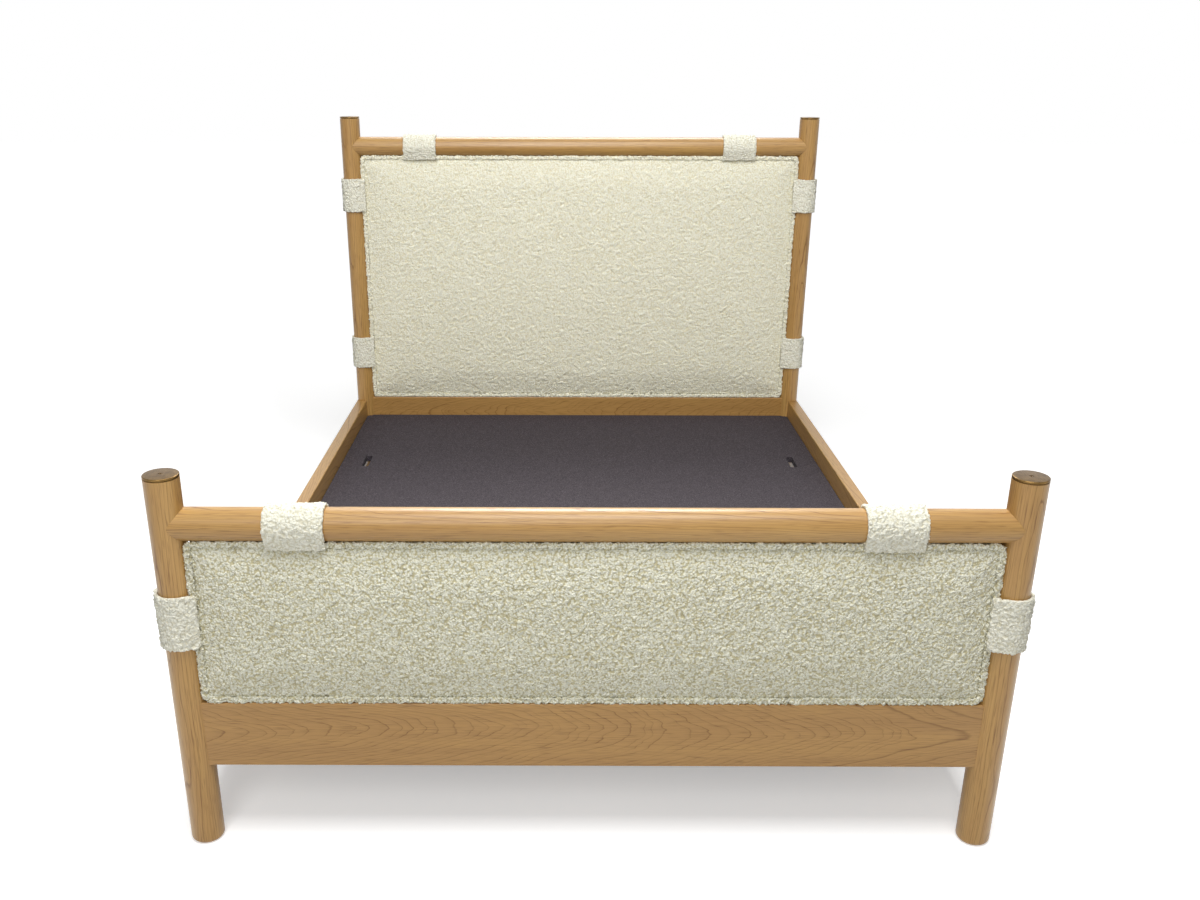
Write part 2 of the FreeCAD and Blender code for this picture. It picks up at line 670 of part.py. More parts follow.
def deck_panel(end):
    """Half of the deck, notched round the posts, with a finger slot near each side rail."""
    name = f"deck_panel_{end}"
    sign = END_SIGN[end]
    seam = "(Sizes.panel_clearance / 2)"
    middle = f"(({sign}) * ({seam} + {PANEL_END}) / 2)"
    sheet_blank = box(f"{name}_sheet", about("0", PANEL_SIDE), between(sign, seam, PANEL_END),
                      (DECK_BOTTOM, "Sizes.deck_top"))
    tools = []
    for side in ("-1", "1"):
        tools.append(cylinder(
            f"{name}_notch_{len(tools)}", "z", "Sizes.post_radius + Sizes.panel_clearance",
            (f"{side} * {HALF_X}", end_line(end), f"{DECK_BOTTOM} - Sizes.overrun"),
            "Sizes.deck_thickness + 2 * Sizes.overrun"))
        slot = box(f"{name}_slot_{len(tools)}",
                   about(f"{side} * ({RAIL_INNER} - Sizes.slot_inset)", "Sizes.slot_width / 2"),
                   about(middle, "Sizes.slot_length / 2"),
                   (f"{DECK_BOTTOM} - Sizes.overrun", "Sizes.deck_top + Sizes.overrun"))
        tools.append(rounded(f"{name}_slot_rounded_{len(tools)}", slot, Vector(0, 0, 1),
                             "Sizes.slot_corner"))
    keep(cut(f"{name}_cut", sheet_blank, tools), name)


def pad_sides(end):
    """Half width, lower edge and upper edge of a pad's flange, as numbers."""
    return value(PAD_SIDE), value("Sizes.pad_bottom"), value(pad_top(end))


def soft_outline(sides, inset, corner, draw, depth):
    """A wire round a pad: rounded corners, and sides that draw in between them as shallow arcs."""
    half, bottom, top = sides
    half -= inset
    bottom += inset
    top -= inset
    diagonal = corner * ROUND_SHARE

    def at(x, z):
        return Vector(x, depth, z)

    middle = (bottom + top) / 2
    arcs = (
        ((-half + corner, bottom), (0, bottom + draw), (half - corner, bottom)),
        ((half - corner, bottom), (half - diagonal, bottom + diagonal), (half, bottom + corner)),
        ((half, bottom + corner), (half - draw, middle), (half, top - corner)),
        ((half, top - corner), (half - diagonal, top - diagonal), (half - corner, top)),
        ((half - corner, top), (0, top - draw), (-half + corner, top)),
        ((-half + corner, top), (-half + diagonal, top - diagonal), (-half, top - corner)),
        ((-half, top - corner), (-half + draw, middle), (-half, bottom + corner)),
        ((-half, bottom + corner), (-half + diagonal, bottom + diagonal), (-half + corner, bottom)),
    )
    return Part.Wire([Part.Arc(*(at(*point) for point in arc)).toShape() for arc in arcs])


def pad_half(end, face, outward):
    """One half of a pad: drawn-in walls, a flat flange round its face and a crown inside the seam."""
    name = f"{end}_pad_{face}"
    sides = pad_sides(end)
    seam = value("Sizes.flange_width")
    corner = value("Sizes.pad_corner")
    draw = value("Sizes.side_draw")
    depth = value("Sizes.pad_half_thickness")
    lip = value("Sizes.flange_thickness")
    crown = value("Sizes.crown_height")
    run = CROWN_RUN_SHARE * value(f"{pad_top('foot')} - Sizes.pad_bottom")
    wall = Part.Face(soft_outline(sides, seam, corner, draw, 0)).extrude(Vector(0, outward * depth, 0))
    flange_wire = soft_outline(sides, 0, corner, value("Sizes.flange_draw"), outward * (depth - lip))
    flange = Part.Face(flange_wire).extrude(Vector(0, outward * lip, 0))
    sections = []
    for inward_share, height_share in CROWN_SHARES:
        sections.append(soft_outline(sides, seam + inward_share * run, corner, draw,
                                     outward * (depth + height_share * crown)))
    soft = wall.fuse([flange, Part.makeLoft(sections, True, True)]).removeSplitter()
    board_room = board_shape(end, value("Sizes.soft_clearance"))
    item = doc.addObject("Part::Feature", name)
    item.Shape = soft.cut(board_room).Solids[0]
    place(item, "0", end_line(end), "0")
    keep(item, name)


def board_shape(end, room):
    """The stiff board inside a pad, or the room for it, about the line of the posts."""
    half, bottom, top = pad_sides(end)
    inset = value("Sizes.flange_width + Sizes.side_draw + Sizes.board_inset") - room
    thickness = value("Sizes.board_thickness") + 2 * room
    corner = Vector(-half + inset, -thickness / 2, bottom + inset)
    return Part.makeBox(2 * (half - inset), thickness, top - bottom - 2 * inset, corner)


def pad_board(end):
    """The stiff board in the middle of a pad."""
    inset = "(Sizes.flange_width + Sizes.side_draw + Sizes.board_inset)"
    board = box(f"{end}_pad_board_blank", about("0", f"{PAD_SIDE} - {inset}"),
                about(end_line(end), "Sizes.board_thickness / 2"),
                (f"Sizes.pad_bottom + {inset}", f"{pad_top(end)} - {inset}"))
    keep(board, f"{end}_pad_board")


def strap(name, bar_radius):
    """A padded strap that loops round a bar, with its two ends sewn on the pad's flanges."""
    body = doc.addObject("PartDesign::Body", f"{name}_band")
    sketch = sketch_on(body, "XY_Plane")
    inner_size = f"({bar_radius} + Sizes.soft_clearance)"
    outer_size = f"({inner_size} + Sizes.strap_thickness)"
    seat_size = "(Sizes.pad_half_thickness + Sizes.soft_clearance)"
    radii = [value(size) for size in (outer_size, inner_size)]
    seat = value(seat_size)
    tips = [math.sqrt(radius ** 2 - seat ** 2) for radius in radii]
    for radius in radii:
        start = math.asin(seat / radius)
        circle = Part.Circle(Vector(), Vector(0, 0, 1), radius)
        sketch.addGeometry(Part.ArcOfCircle(circle, start, math.tau - start))
    for height in (seat, -seat):
        sketch.addGeometry(Part.LineSegment(*(Vector(tip, height, 0) for tip in tips)))
    for arc in (0, 1):
        sketch.addConstraint(Sketcher.Constraint("Coincident", arc, 3, -1, 1))
    for joint in ((0, 1, 2, 1), (2, 2, 1, 1), (0, 2, 3, 1), (3, 2, 1, 2)):
        sketch.addConstraint(Sketcher.Constraint("Coincident", *joint))
    for line in (2, 3):
        sketch.addConstraint(Sketcher.Constraint("Horizontal", line))
    hold(sketch, Sketcher.Constraint("DistanceY", -1, 1, 2, 1, seat), seat_size)
    hold(sketch, Sketcher.Constraint("DistanceY", 3, 1, -1, 1, seat), seat_size)
    for arc, size in enumerate((outer_size, inner_size)):
        hold(sketch, Sketcher.Constraint("Radius", arc, radii[arc]), size)
    pad = body.newObject("PartDesign::Pad", f"{name}_pad")
    pad.Profile = sketch
    pad.SideType = "Symmetric"
    pad.setExpression("Length", "Sizes.strap_width")
    return body


def straps():
    """Straps over the top rails and round the posts."""
    for end in POST_HEIGHT:
        over = strap(f"strap_{end}_top", "Sizes.rail_radius")
        over.Placement = Placement(Vector(), TURNED_TO["x"])
        place(over, f"Sizes.top_strap_inset - {HALF_X}", end_line(end), rail_axis(end))
        keep_pair(over, f"strap_{end}_top")
    post_straps = (
        ("foot", "foot_side", f"(Sizes.pad_bottom + {pad_top('foot')}) / 2 + Sizes.foot_strap_raise"),
        ("head", "head_low", "Sizes.pad_bottom + Sizes.head_strap_low_rise"),
        ("head", "head_high", f"{pad_top('head')} - Sizes.head_strap_high_drop"),
    )
    for end, spot, height in post_straps:
        round_post = strap(f"strap_{spot}", "Sizes.post_radius")
        place(round_post, f"-{HALF_X}", end_line(end), height)
        keep_pair(round_post, f"strap_{spot}")


def check_and_write():
    """Stops if anything failed to build, and otherwise writes every sub-part."""
    doc.recompute()
    for item in doc.Objects:
        for state in item.State:
            if state in ("Invalid", "Error"):
                raise RuntimeError(f"{item.Name} did not build")
    for item in sub_parts:
        if item.Shape.isNull() or not item.Shape.isValid() or not item.Shape.Solids:
            raise RuntimeError(f"{item.Label} has no valid solid")
    os.makedirs("parts", exist_ok=True)
    for item in sub_parts:
        item.Shape.exportStep(f"parts/{item.Label}.step")
        print(f"{item.Label}: {len(item.Shape.Solids)} solids, {item.Shape.Volume / 1000:.1f} cm3")


for bed_end in POST_HEIGHT:
    post(bed_end)
    cap(bed_end)
    top_rail(bed_end)
    lower_rail(bed_end)
    deck_panel(bed_end)
    pad_half(bed_end, "outer", int(END_SIGN[bed_end]))
    pad_half(bed_end, "inner", -int(END_SIGN[bed_end]))
    pad_board(bed_end)
cap_screws()
side_rail()
hook_plates()
catch_plates()
cleat()
cleat_screws()
slats()
centre_beam()
stirrups()
for leg_end, leg_spot in leg_places().items():
    centre_leg(leg_end, leg_spot)
    glide(leg_end, leg_spot)
straps()
check_and_write()
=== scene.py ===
"""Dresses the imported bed: oak frame, bronze caps, boucle pads and straps, and a charcoal deck.

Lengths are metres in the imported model's frame, with +Z up and the foot end towards -Y.
"""

from __future__ import annotations

import json
import logging
import math
from dataclasses import dataclass, replace
from enum import Enum
from typing import Any, Callable, Iterable

import bmesh
import bpy
import numpy as np
from bpy.types import Material, Node, NodeSocket, NodeTree, Object
from mathutils import Matrix, Vector

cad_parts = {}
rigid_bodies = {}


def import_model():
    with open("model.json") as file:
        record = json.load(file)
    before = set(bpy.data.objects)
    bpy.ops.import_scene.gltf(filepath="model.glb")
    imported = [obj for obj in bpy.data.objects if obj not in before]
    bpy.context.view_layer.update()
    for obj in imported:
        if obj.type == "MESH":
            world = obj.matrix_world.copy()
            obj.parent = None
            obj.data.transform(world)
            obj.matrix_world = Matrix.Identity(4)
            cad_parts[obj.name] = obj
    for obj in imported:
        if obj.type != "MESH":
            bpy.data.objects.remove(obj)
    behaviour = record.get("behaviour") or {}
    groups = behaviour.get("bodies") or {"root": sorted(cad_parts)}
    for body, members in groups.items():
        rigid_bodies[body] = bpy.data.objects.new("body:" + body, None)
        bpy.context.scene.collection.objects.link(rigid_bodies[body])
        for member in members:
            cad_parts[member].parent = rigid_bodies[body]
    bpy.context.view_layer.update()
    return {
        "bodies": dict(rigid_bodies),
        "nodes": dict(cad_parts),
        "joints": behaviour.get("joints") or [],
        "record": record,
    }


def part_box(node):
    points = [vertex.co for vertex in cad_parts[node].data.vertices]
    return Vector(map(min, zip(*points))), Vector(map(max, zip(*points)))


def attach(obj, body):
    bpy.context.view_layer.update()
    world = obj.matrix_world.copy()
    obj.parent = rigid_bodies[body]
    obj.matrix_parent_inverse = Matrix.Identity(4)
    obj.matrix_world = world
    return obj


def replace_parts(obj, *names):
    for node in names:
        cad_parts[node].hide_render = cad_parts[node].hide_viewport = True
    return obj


log = logging.getLogger("bed")

MM = 0.001
PHOTO_WIDTH = 1200
PHOTO_HEIGHT = 900
# Vertices this close are merged, and faces this close lie at one height
MERGE_GAP = 0.01 * MM
LEVEL_GAP = 0.1 * MM
# Stands in for a length of nothing where it divides
LEAST_LENGTH = 1e-9


class Along(Enum):
    """The way that a piece of wood's grain runs."""

    X = 0
    Y = 1
    Z = 2


class Face(Enum):
    """The two faces of a pad: away from the bed, or towards the mattress."""

    OUTER = "outer"
    INNER = "inner"


class Bar(Enum):
    """What a strap loops round: a top rail or a post."""

    RAIL = "rail"
    POST = "post"


def linear(colour: str) -> tuple[float, float, float, float]:
    """Turns an sRGB hex colour to linear RGBA.

    Args:
        colour: a colour such as "#C8A26C".

    Returns:
        The four channels, with full alpha.
    """
    channels = [int(colour[start:start + 2], 16) / 255 for start in (1, 3, 5)]
    red, green, blue = (
        c / 12.92 if c <= 0.04045 else ((c + 0.055) / 1.055) ** 2.4 for c in channels
    )
    return red, green, blue, 1.0


def add_node(
    tree: NodeTree,
    kind: str,
    settings: dict[Any, Any] | None = None,
    links: dict[Any, Node | NodeSocket] | None = None,
) -> Node:
    """Adds a node with its settings and links.

    Args:
        tree: the material's node tree.
        kind: the node's type, less the ShaderNode that all of them start with.
        settings: properties by name, inputs by name or number, and a ramp's stops as "ramp".
        links: what feeds the node's inputs, by name or number: a socket, or a node's first one.

    Returns:
        The new node.
    """
    node = tree.nodes.new(f"ShaderNode{kind}")
    for key, setting in (settings or {}).items():
        if key == "ramp":
            stops = node.color_ramp.elements
            for _ in range(len(setting) - len(stops)):
                stops.new(0.5)
            for stop, (place, colour) in zip(stops, setting):
                stop.position = place
                stop.color = linear(colour)
        elif isinstance(key, int) or key in node.inputs:
            node.inputs[key].default_value = setting
        else:
            setattr(node, key, setting)
    for key, source in (links or {}).items():
        socket = source.outputs[0] if isinstance(source, Node) else source
        tree.links.new(socket, node.inputs[key])
    return node


def new_material(name: str, settings: dict[str, float]) -> tuple[Material, NodeTree, Node, NodeSocket]:
    """Starts a material.

    Args:
        name: the material's name.
        settings: the main shader's inputs that are the same all over.

    Returns:
        The material, its node tree, its main shader and the socket of the place on the piece.
    """
    material = bpy.data.materials.new(name)
    material.use_nodes = True
    tree = material.node_tree
    shader = tree.nodes["Principled BSDF"]
    for key, setting in settings.items():
        shader.inputs[key].default_value = setting
    place = add_node(tree, "TexCoord").outputs["Object"]
    return material, tree, shader, place


def only(*pieces: Object) -> None:
    """Selects these objects alone, in object mode, with the first one active.

    Args:
        pieces: the objects, or none to deselect all.
    """
    if bpy.context.object and bpy.context.object.mode != "OBJECT":
        bpy.ops.object.mode_set(mode="OBJECT")
    bpy.ops.object.select_all(action="DESELECT")
    for piece in pieces:
        piece.select_set(True)
    if pieces:
        bpy.context.view_layer.objects.active = pieces[0]


def added(name: str, size: Iterable[float] = (1, 1, 1)) -> Object:
    """Names the primitive that was just added and puts its size and place into its mesh.

    Args:
        name: the new piece's name.
        size: the scale of its three sides.

    Returns:
        The piece, alone selected and active.
    """
    piece = bpy.context.object
    piece.name = name
    piece.data.name = name
    piece.scale = tuple(size)
    only(piece)
    bpy.ops.object.transform_apply(location=True, rotation=True, scale=True)
    return piece


def pick_faces(piece: Object, wanted: Callable[[Vector, Vector], bool]) -> None:
    """Selects faces in edit mode.

    Args:
        piece: the object in edit mode.
        wanted: says from a face's middle and normal whether it is selected.
    """
    mesh = bmesh.from_edit_mesh(piece.data)
    for face in mesh.faces:
        face.select_set(wanted(face.calc_center_median(), face.normal))
    mesh.select_flush_mode()
    bmesh.update_edit_mesh(piece.data)


def pick_edges(piece: Object, wanted: Callable[[Vector, Vector], bool]) -> None:
    """Selects edges in edit mode.

    Args:
        piece: the object in edit mode.
        wanted: says from an edge's middle and direction whether it is selected.
    """
    mesh = bmesh.from_edit_mesh(piece.data)
    for edge in mesh.edges:
        start, end = (vert.co for vert in edge.verts)
        edge.select_set(wanted((start + end) / 2, (end - start).normalized()))
    bmesh.update_edit_mesh(piece.data)


def extrude(x: float, y: float, z: float) -> None:
    """Extrudes what is selected in edit mode by this move."""
    bpy.ops.mesh.extrude_region_move(TRANSFORM_OT_translate={"value": (x, y, z)})


def apply_modifier(piece: Object, kind: str, **settings: Any) -> None:
    """Adds a modifier and applies it.

    Args:
        piece: the object to shape.
        kind: the modifier's type.
        settings: its properties.
    """
    modifier = piece.modifiers.new(kind.title(), kind)
    for key, setting in settings.items():
        setattr(modifier, key, setting)
    only(piece)
    bpy.ops.object.modifier_apply(modifier=modifier.name)


def rows(items: Any, key: str) -> np.ndarray:
    """Reads a vector from each of a mesh's items.

    Args:
        items: the items, such as the mesh's vertices.
        key: the vector's name.

    Returns:
        A row of x, y, z for each item.
    """
    flat = np.empty(3 * len(items), np.float32)
    items.foreach_get(key, flat)
    return flat.reshape(-1, 3)


def places(piece: Object) -> np.ndarray:
    """The vertices of a piece as rows of x, y, z."""
    return rows(piece.data.vertices, "co")


def directions(piece: Object) -> np.ndarray:
    """The vertex normals of a piece as rows of x, y, z."""
    return rows(piece.data.vertex_normals, "vector")


def move_to(piece: Object, spots: np.ndarray) -> None:
    """Puts a piece's vertices at these spots."""
    piece.data.vertices.foreach_set("co", spots.astype(np.float32).ravel())
    piece.data.update()


def dress(piece: Object, material: Material, body: str) -> Object:
    """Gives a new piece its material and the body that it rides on.

    Args:
        piece: the finished mesh.
        material: its finish.
        body: the CAD body.

    Returns:
        The piece.
    """
    piece.data.materials.clear()
    piece.data.materials.append(material)
    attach(piece, body)
    log.info("%s: %d faces on %s", piece.name, len(piece.data.polygons), body)
    return piece


def dress_nodes(frame: dict[str, Any], names: Iterable[str], material: Material) -> None:
    """Gives CAD nodes a material.

    Args:
        frame: the loaded frame.
        names: the nodes.
        material: their finish.
    """
    for name in names:
        node = frame["nodes"][name]
        if not node.material_slots:
            node.data.materials.append(material)
        node.material_slots[0].material = material
        log.info("%s: %s", name, material.name)


@dataclass(frozen=True)
class WoodFinish:
    """Planed wood with a satin face: fine straight fibres, and a thin dark line where a ring ends.

    The heart is the middle of the tree that the piece was cut from, and the slope is the angle, as
    a share, at which the rings run out of the piece.
    """

    name: str
    along: Along
    heart: tuple[float, float, float]
    slope: float
    pale: str = "#C29A59"
    deep: str = "#A67C45"
    line: str = "#734B20"
    ring: float = 5 * MM
    wander: float = 26 * MM
    wave: float = 85 * MM
    fade: float = 22 * MM
    patch: float = 48 * MM
    # Real fibres and pores are a quarter as wide, which would not show from across a room
    fibre: float = 1.7 * MM
    pore: float = 2.4 * MM
    line_strength: float = 0.95
    pore_strength: float = 0.45
    stretch: float = 18.0
    roughness: float = 0.4
    line_roughness: float = 0.58
    lacquer: float = 0.35

    def material(self) -> Material:
        """Builds the wood.

        Returns:
            The material.
        """
        material, tree, shader, place = new_material(
            self.name, {"Specular IOR Level": 0.35, "Coat Weight": self.lacquer, "Coat Roughness": 0.3}
        )
        laid = add_node(
            tree,
            "Mapping",
            {
                "vector_type": "TEXTURE",
                "Location": self.heart,
                "Scale": self.drawn_out(self.stretch),
            },
            {"Vector": place},
        ).outputs[0]
        lines = self.ring_lines(tree, laid)
        dark_lines = add_node(
            tree, "Math", {"operation": "MULTIPLY", 1: self.line_strength}, {0: lines}
        )
        pores = self.mottle(tree, laid, self.pore, 0.56, 0.74, detail=1.0)
        dark = add_node(
            tree,
            "Math",
            {"operation": "MULTIPLY_ADD", 1: self.pore_strength},
            {0: pores, 2: dark_lines},
        )
        longer = add_node(tree, "Mapping", {"Scale": self.drawn_out(0.3)}, {"Vector": laid})
        fibres = self.mottle(tree, longer.outputs[0], self.fibre, 0.32, 0.68)
        patches = self.mottle(tree, laid, self.patch, 0.3, 0.7)
        mixed = add_node(tree, "Mix", {"data_type": "FLOAT", 0: 0.5}, {2: fibres, 3: patches})
        ground = add_node(
            tree, "Mix", {"data_type": "RGBA", 6: linear(self.pale), 7: linear(self.deep)}, {0: mixed}
        )
        colour = add_node(
            tree, "Mix", {"data_type": "RGBA", 7: linear(self.line)}, {0: dark, 6: ground.outputs[2]}
        )
        tree.links.new(colour.outputs[2], shader.inputs["Base Color"])
        gloss = add_node(tree, "MapRange", {3: self.roughness, 4: self.line_roughness}, {0: lines})
        tree.links.new(gloss.outputs[0], shader.inputs["Roughness"])
        relief = add_node(
            tree, "Bump", {"Strength": 0.3, "Distance": 0.25 * MM, "invert": True}, {"Height": mixed}
        )
        tree.links.new(relief.outputs["Normal"], shader.inputs["Normal"])
        return material

    def drawn_out(self, factor: float) -> list[float]:
        """A scale by this factor along the grain and by 1 across it."""
        return [factor if axis is self.along else 1.0 for axis in Along]

    def ring_lines(self, tree: NodeTree, laid: NodeSocket) -> NodeSocket:
        """Draws a line where each ring ends, darker in some years and faded in some places.

        Args:
            tree: the node tree to add to.
            laid: the place from the heart, drawn in along the grain.

        Returns:
            The socket that gives the darkness of the lines.
        """
        count = self.ring_count(tree, laid)
        part = add_node(tree, "Math", {"operation": "FRACT"}, {0: count})
        late = add_node(
            tree,
            "ValToRGB",
            {"ramp": [(0.5, "#000000"), (0.86, "#686868"), (0.95, "#F0F0F0"), (1.0, "#303030")]},
            {"Fac": part},
        )
        years = add_node(
            tree, "TexNoise", {"noise_dimensions": "1D", "Scale": 0.8, "Detail": 0.0}, {"W": count}
        )
        dark_years = add_node(tree, "MapRange", {1: 0.3, 2: 0.62, 3: 0.5}, {0: years})
        fading = self.mottle(tree, laid, self.fade, 0.16, 0.5)
        kept = add_node(tree, "Math", {"operation": "MULTIPLY"}, {0: dark_years, 1: fading})
        lines = add_node(tree, "Math", {"operation": "MULTIPLY"}, {0: late, 1: kept})
        return lines.outputs[0]

    def ring_count(self, tree: NodeTree, laid: NodeSocket) -> NodeSocket:
        """Counts the rings from the heart, which wander and lie at a slope to the piece.

        Args:
            tree: the node tree to add to.
            laid: the place from the heart, drawn in along the grain.

        Returns:
            The socket that gives the count.
        """
        crosswise = self.drawn_out(0.0)
        lengthwise = [1 - share for share in crosswise]
        across = add_node(tree, "VectorMath", {"operation": "MULTIPLY", 1: crosswise}, {0: laid})
        radius = add_node(tree, "VectorMath", {"operation": "LENGTH"}, {0: across})
        run = add_node(tree, "VectorMath", {"operation": "DOT_PRODUCT", 1: lengthwise}, {0: laid})
        sloped = add_node(
            tree,
            "Math",
            {"operation": "MULTIPLY_ADD", 1: self.slope * self.stretch},
            {0: run.outputs["Value"], 2: radius.outputs["Value"]},
        )
        shorter = add_node(tree, "Mapping", {"Scale": self.drawn_out(4.0)}, {"Vector": laid})
        waves = add_node(
            tree,
            "TexNoise",
            {"Scale": 1 / self.wave, "Detail": 5.0, "Roughness": 0.42},
            {"Vector": shorter},
        )
        wandering = add_node(
            tree, "Math", {"operation": "MULTIPLY_ADD", 1: self.wander}, {0: waves, 2: sloped}
        )
        even = add_node(tree, "Math", {"operation": "DIVIDE", 1: self.ring}, {0: wandering})
        growth = add_node(
            tree, "TexNoise", {"noise_dimensions": "1D", "Scale": 0.45, "Detail": 0.0}, {"W": even}
        )
        uneven = add_node(tree, "Math", {"operation": "MULTIPLY_ADD", 1: 1.3}, {0: growth, 2: even})
        return uneven.outputs[0]

    @staticmethod
    def mottle(
        tree: NodeTree,
        place: NodeSocket,
        size: float,
        low: float,
        high: float,
        detail: float = 2.0,
    ) -> NodeSocket:
        """Draws a soft mottle that runs from 0 to 1.

        Args:
            tree: the node tree to add to.
            place: where it is read.
            size: the length of its features.
            low: the noise that gives 0.
            high: the noise that gives 1.
            detail: its finer layers.

        Returns:
            The socket that gives the mottle.
        """
        noise = add_node(tree, "TexNoise", {"Scale": 1 / size, "Detail": detail}, {"Vector": place})
        spread = add_node(tree, "MapRange", {1: low, 2: high}, {0: noise})
        return spread.outputs[0]


@dataclass(frozen=True)
class BoucleFinish:
    """Wool boucle: small tight curls of yarn over a looser, uneven pile, matt and pale, with painted
    shade in the pits between the curls and a painted highlight on their tops.
    """

    name: str
    # The top colour is a painted highlight on the curls, and the pit colour a painted shade between
    # them
    top: str = "#F8F7E8"
    mid: str = "#EDEBD5"
    pit_shade: str = "#CDC49E"
    curl: float = 4.5 * MM
    curl_height: float = 3.6 * MM
    loop: float = 7 * MM
    loop_height: float = 2.6 * MM
    drift: float = 60 * MM
    drift_height: float = 1.4 * MM

    def raise_loops(self, piece: Object, free: np.ndarray | None = None) -> None:
        """Raises the loops on a fine mesh and keeps their height as an attribute.

        Args:
            piece: the mesh.
            free: from 0 to 1 for each vertex, how far its loops may stand up, or None for all.
        """
        group = "loops"
        weights = piece.vertex_groups.new(name=group)
        shares = np.ones(len(piece.data.vertices)) if free is None else free
        tenths = np.round(shares, 1)
        for step in np.unique(tenths[tenths > 0]):
            weights.add(np.nonzero(tenths == step)[0].tolist(), float(step), "REPLACE")
        before = places(piece)
        outward = directions(piece)
        loops = bpy.data.textures.new(f"{piece.name}_loops", "DISTORTED_NOISE")
        loops.noise_basis = "BLENDER_ORIGINAL"
        loops.noise_distortion = "ORIGINAL_PERLIN"
        loops.distortion = 1.0
        loops.noise_scale = self.loop
        drift = bpy.data.textures.new(f"{piece.name}_drift", "CLOUDS")
        drift.noise_scale = self.drift
        layers = ((loops, self.loop_height, 0.0), (drift, self.drift_height, 0.5))
        for texture, height, level in layers:
            apply_modifier(
                piece,
                "DISPLACE",
                texture=texture,
                texture_coords="LOCAL",
                strength=height,
                mid_level=level,
                vertex_group=group,
            )
            if texture is loops:
                risen = ((places(piece) - before) * outward).sum(axis=1)
        lowest, highest = np.percentile(risen, (2, 98))
        # The loops' height is kept so that the material can paint shade in the low places and a
        # highlight on the high ones
        height = piece.data.attributes.new("loop_height", "FLOAT", "POINT")
        levels = np.clip((risen - lowest) / (highest - lowest), 0, 1)
        height.data.foreach_set("value", levels.astype(np.float32))
        piece.vertex_groups.clear()
        only(piece)
        bpy.ops.object.shade_smooth()

    def material(self) -> Material:
        """Builds the cloth.

        Returns:
            The material.
        """
        material, tree, shader, place = new_material(
            self.name,
            {
                "Roughness": 0.95,
                "Specular IOR Level": 0.1,
                "Sheen Weight": 0.15,
                "Sheen Roughness": 0.5,
            },
        )
        swirl = add_node(tree, "TexNoise", {"Scale": 0.7 / self.curl, "Detail": 1.0}, {"Vector": place})
        curled = add_node(
            tree,
            "VectorMath",
            {"operation": "MULTIPLY_ADD", 1: (self.curl, self.curl, self.curl)},
            {0: swirl.outputs["Color"], 2: place},
        )
        curls = add_node(
            tree,
            "TexVoronoi",
            {"feature": "SMOOTH_F1", "Scale": 1 / self.curl, "Smoothness": 0.35},
            {"Vector": curled},
        )
        loops = add_node(tree, "Attribute", {"attribute_name": "loop_height"})
        lifted = add_node(
            tree, "Math", {"operation": "MULTIPLY_ADD", 1: 0.15, 2: 1.05}, {0: loops.outputs["Fac"]}
        )
        height = add_node(tree, "Math", {"operation": "MULTIPLY_ADD", 1: -1.5}, {0: curls, 2: lifted})
        # The ramp paints shade into the low pits and a highlight onto the raised curls and loops
        colour = add_node(
            tree,
            "ValToRGB",
            {"ramp": [(0.05, self.pit_shade), (0.38, self.mid), (0.8, self.top)]},
            {"Fac": height},
        )
        tree.links.new(colour.outputs["Color"], shader.inputs["Base Color"])
        relief = add_node(
            tree,
            "Bump",
            {"Strength": 1.0, "Distance": self.curl_height, "invert": True},
            {"Height": curls},
        )
        tree.links.new(relief.outputs["Normal"], shader.inputs["Normal"])
        return material


@dataclass(frozen=True)
class BronzeFinish:
    """Brushed antique bronze: brown metal with a soft patina and brighter scratches."""

    name: str = "antique_bronze"
    bright: str = "#8A6E42"
    brown: str = "#5A4426"
    patina: float = 14 * MM
    # Real scratches are finer, which would not show from across a room
    brush: float = 0.8 * MM

    def material(self) -> Material:
        """Builds the metal.

        Returns:
            The material.
        """
        material, tree, shader, place = new_material(self.name, {"Metallic": 1.0})
        brushed = add_node(tree, "Mapping", {"Scale": (1.0, 0.06, 1.0)}, {"Vector": place})
        scratches = add_node(
            tree, "TexNoise", {"Scale": 1 / self.brush, "Detail": 2.0}, {"Vector": brushed}
        )
        patina = add_node(
            tree, "TexNoise", {"Scale": 1 / self.patina, "Detail": 4.0}, {"Vector": place}
        )
        worn = add_node(tree, "Math", {"operation": "MULTIPLY"}, {0: scratches, 1: patina})
        colour = add_node(
            tree, "ValToRGB", {"ramp": [(0.12, self.brown), (0.42, self.bright)]}, {"Fac": worn}
        )
        tree.links.new(colour.outputs["Color"], shader.inputs["Base Color"])
        gloss = add_node(tree, "MapRange", {1: 0.1, 2: 0.5, 3: 0.36, 4: 0.25}, {0: worn})
        tree.links.new(gloss.outputs[0], shader.inputs["Roughness"])
        return material


@dataclass(frozen=True)
class DeckFinish:
    """Charcoal film-faced plywood: a matt, slightly uneven resin face with a fine paler speckle."""

    name: str = "charcoal_film_faced_plywood"
    dark: str = "#2C272C"
    mid: str = "#3B353A"
    fleck: str = "#5E575D"
    # The real speckle is finer, which would not show from across a room
    speckle: float = 3 * MM

    def material(self) -> Material:
        """Builds the deck's face.

        Returns:
            The material.
        """
        material, tree, shader, place = new_material(
            self.name, {"Roughness": 0.85, "Specular IOR Level": 0.3}
        )
        grains = add_node(
            tree,
            "TexNoise",
            {"Scale": 1 / self.speckle, "Detail": 3.0, "Roughness": 0.7},
            {"Vector": place},
        )
        colour = add_node(
            tree,
            "ValToRGB",
            {"ramp": [(0.38, self.dark), (0.5, self.mid), (0.66, self.fleck)]},
            {"Fac": grains},
        )
        tree.links.new(colour.outputs["Color"], shader.inputs["Base Color"])
        relief = add_node(tree, "Bump", {"Strength": 0.3, "Distance": 0.5 * MM}, {"Height": grains})
        tree.links.new(relief.outputs["Normal"], shader.inputs["Normal"])
        return material


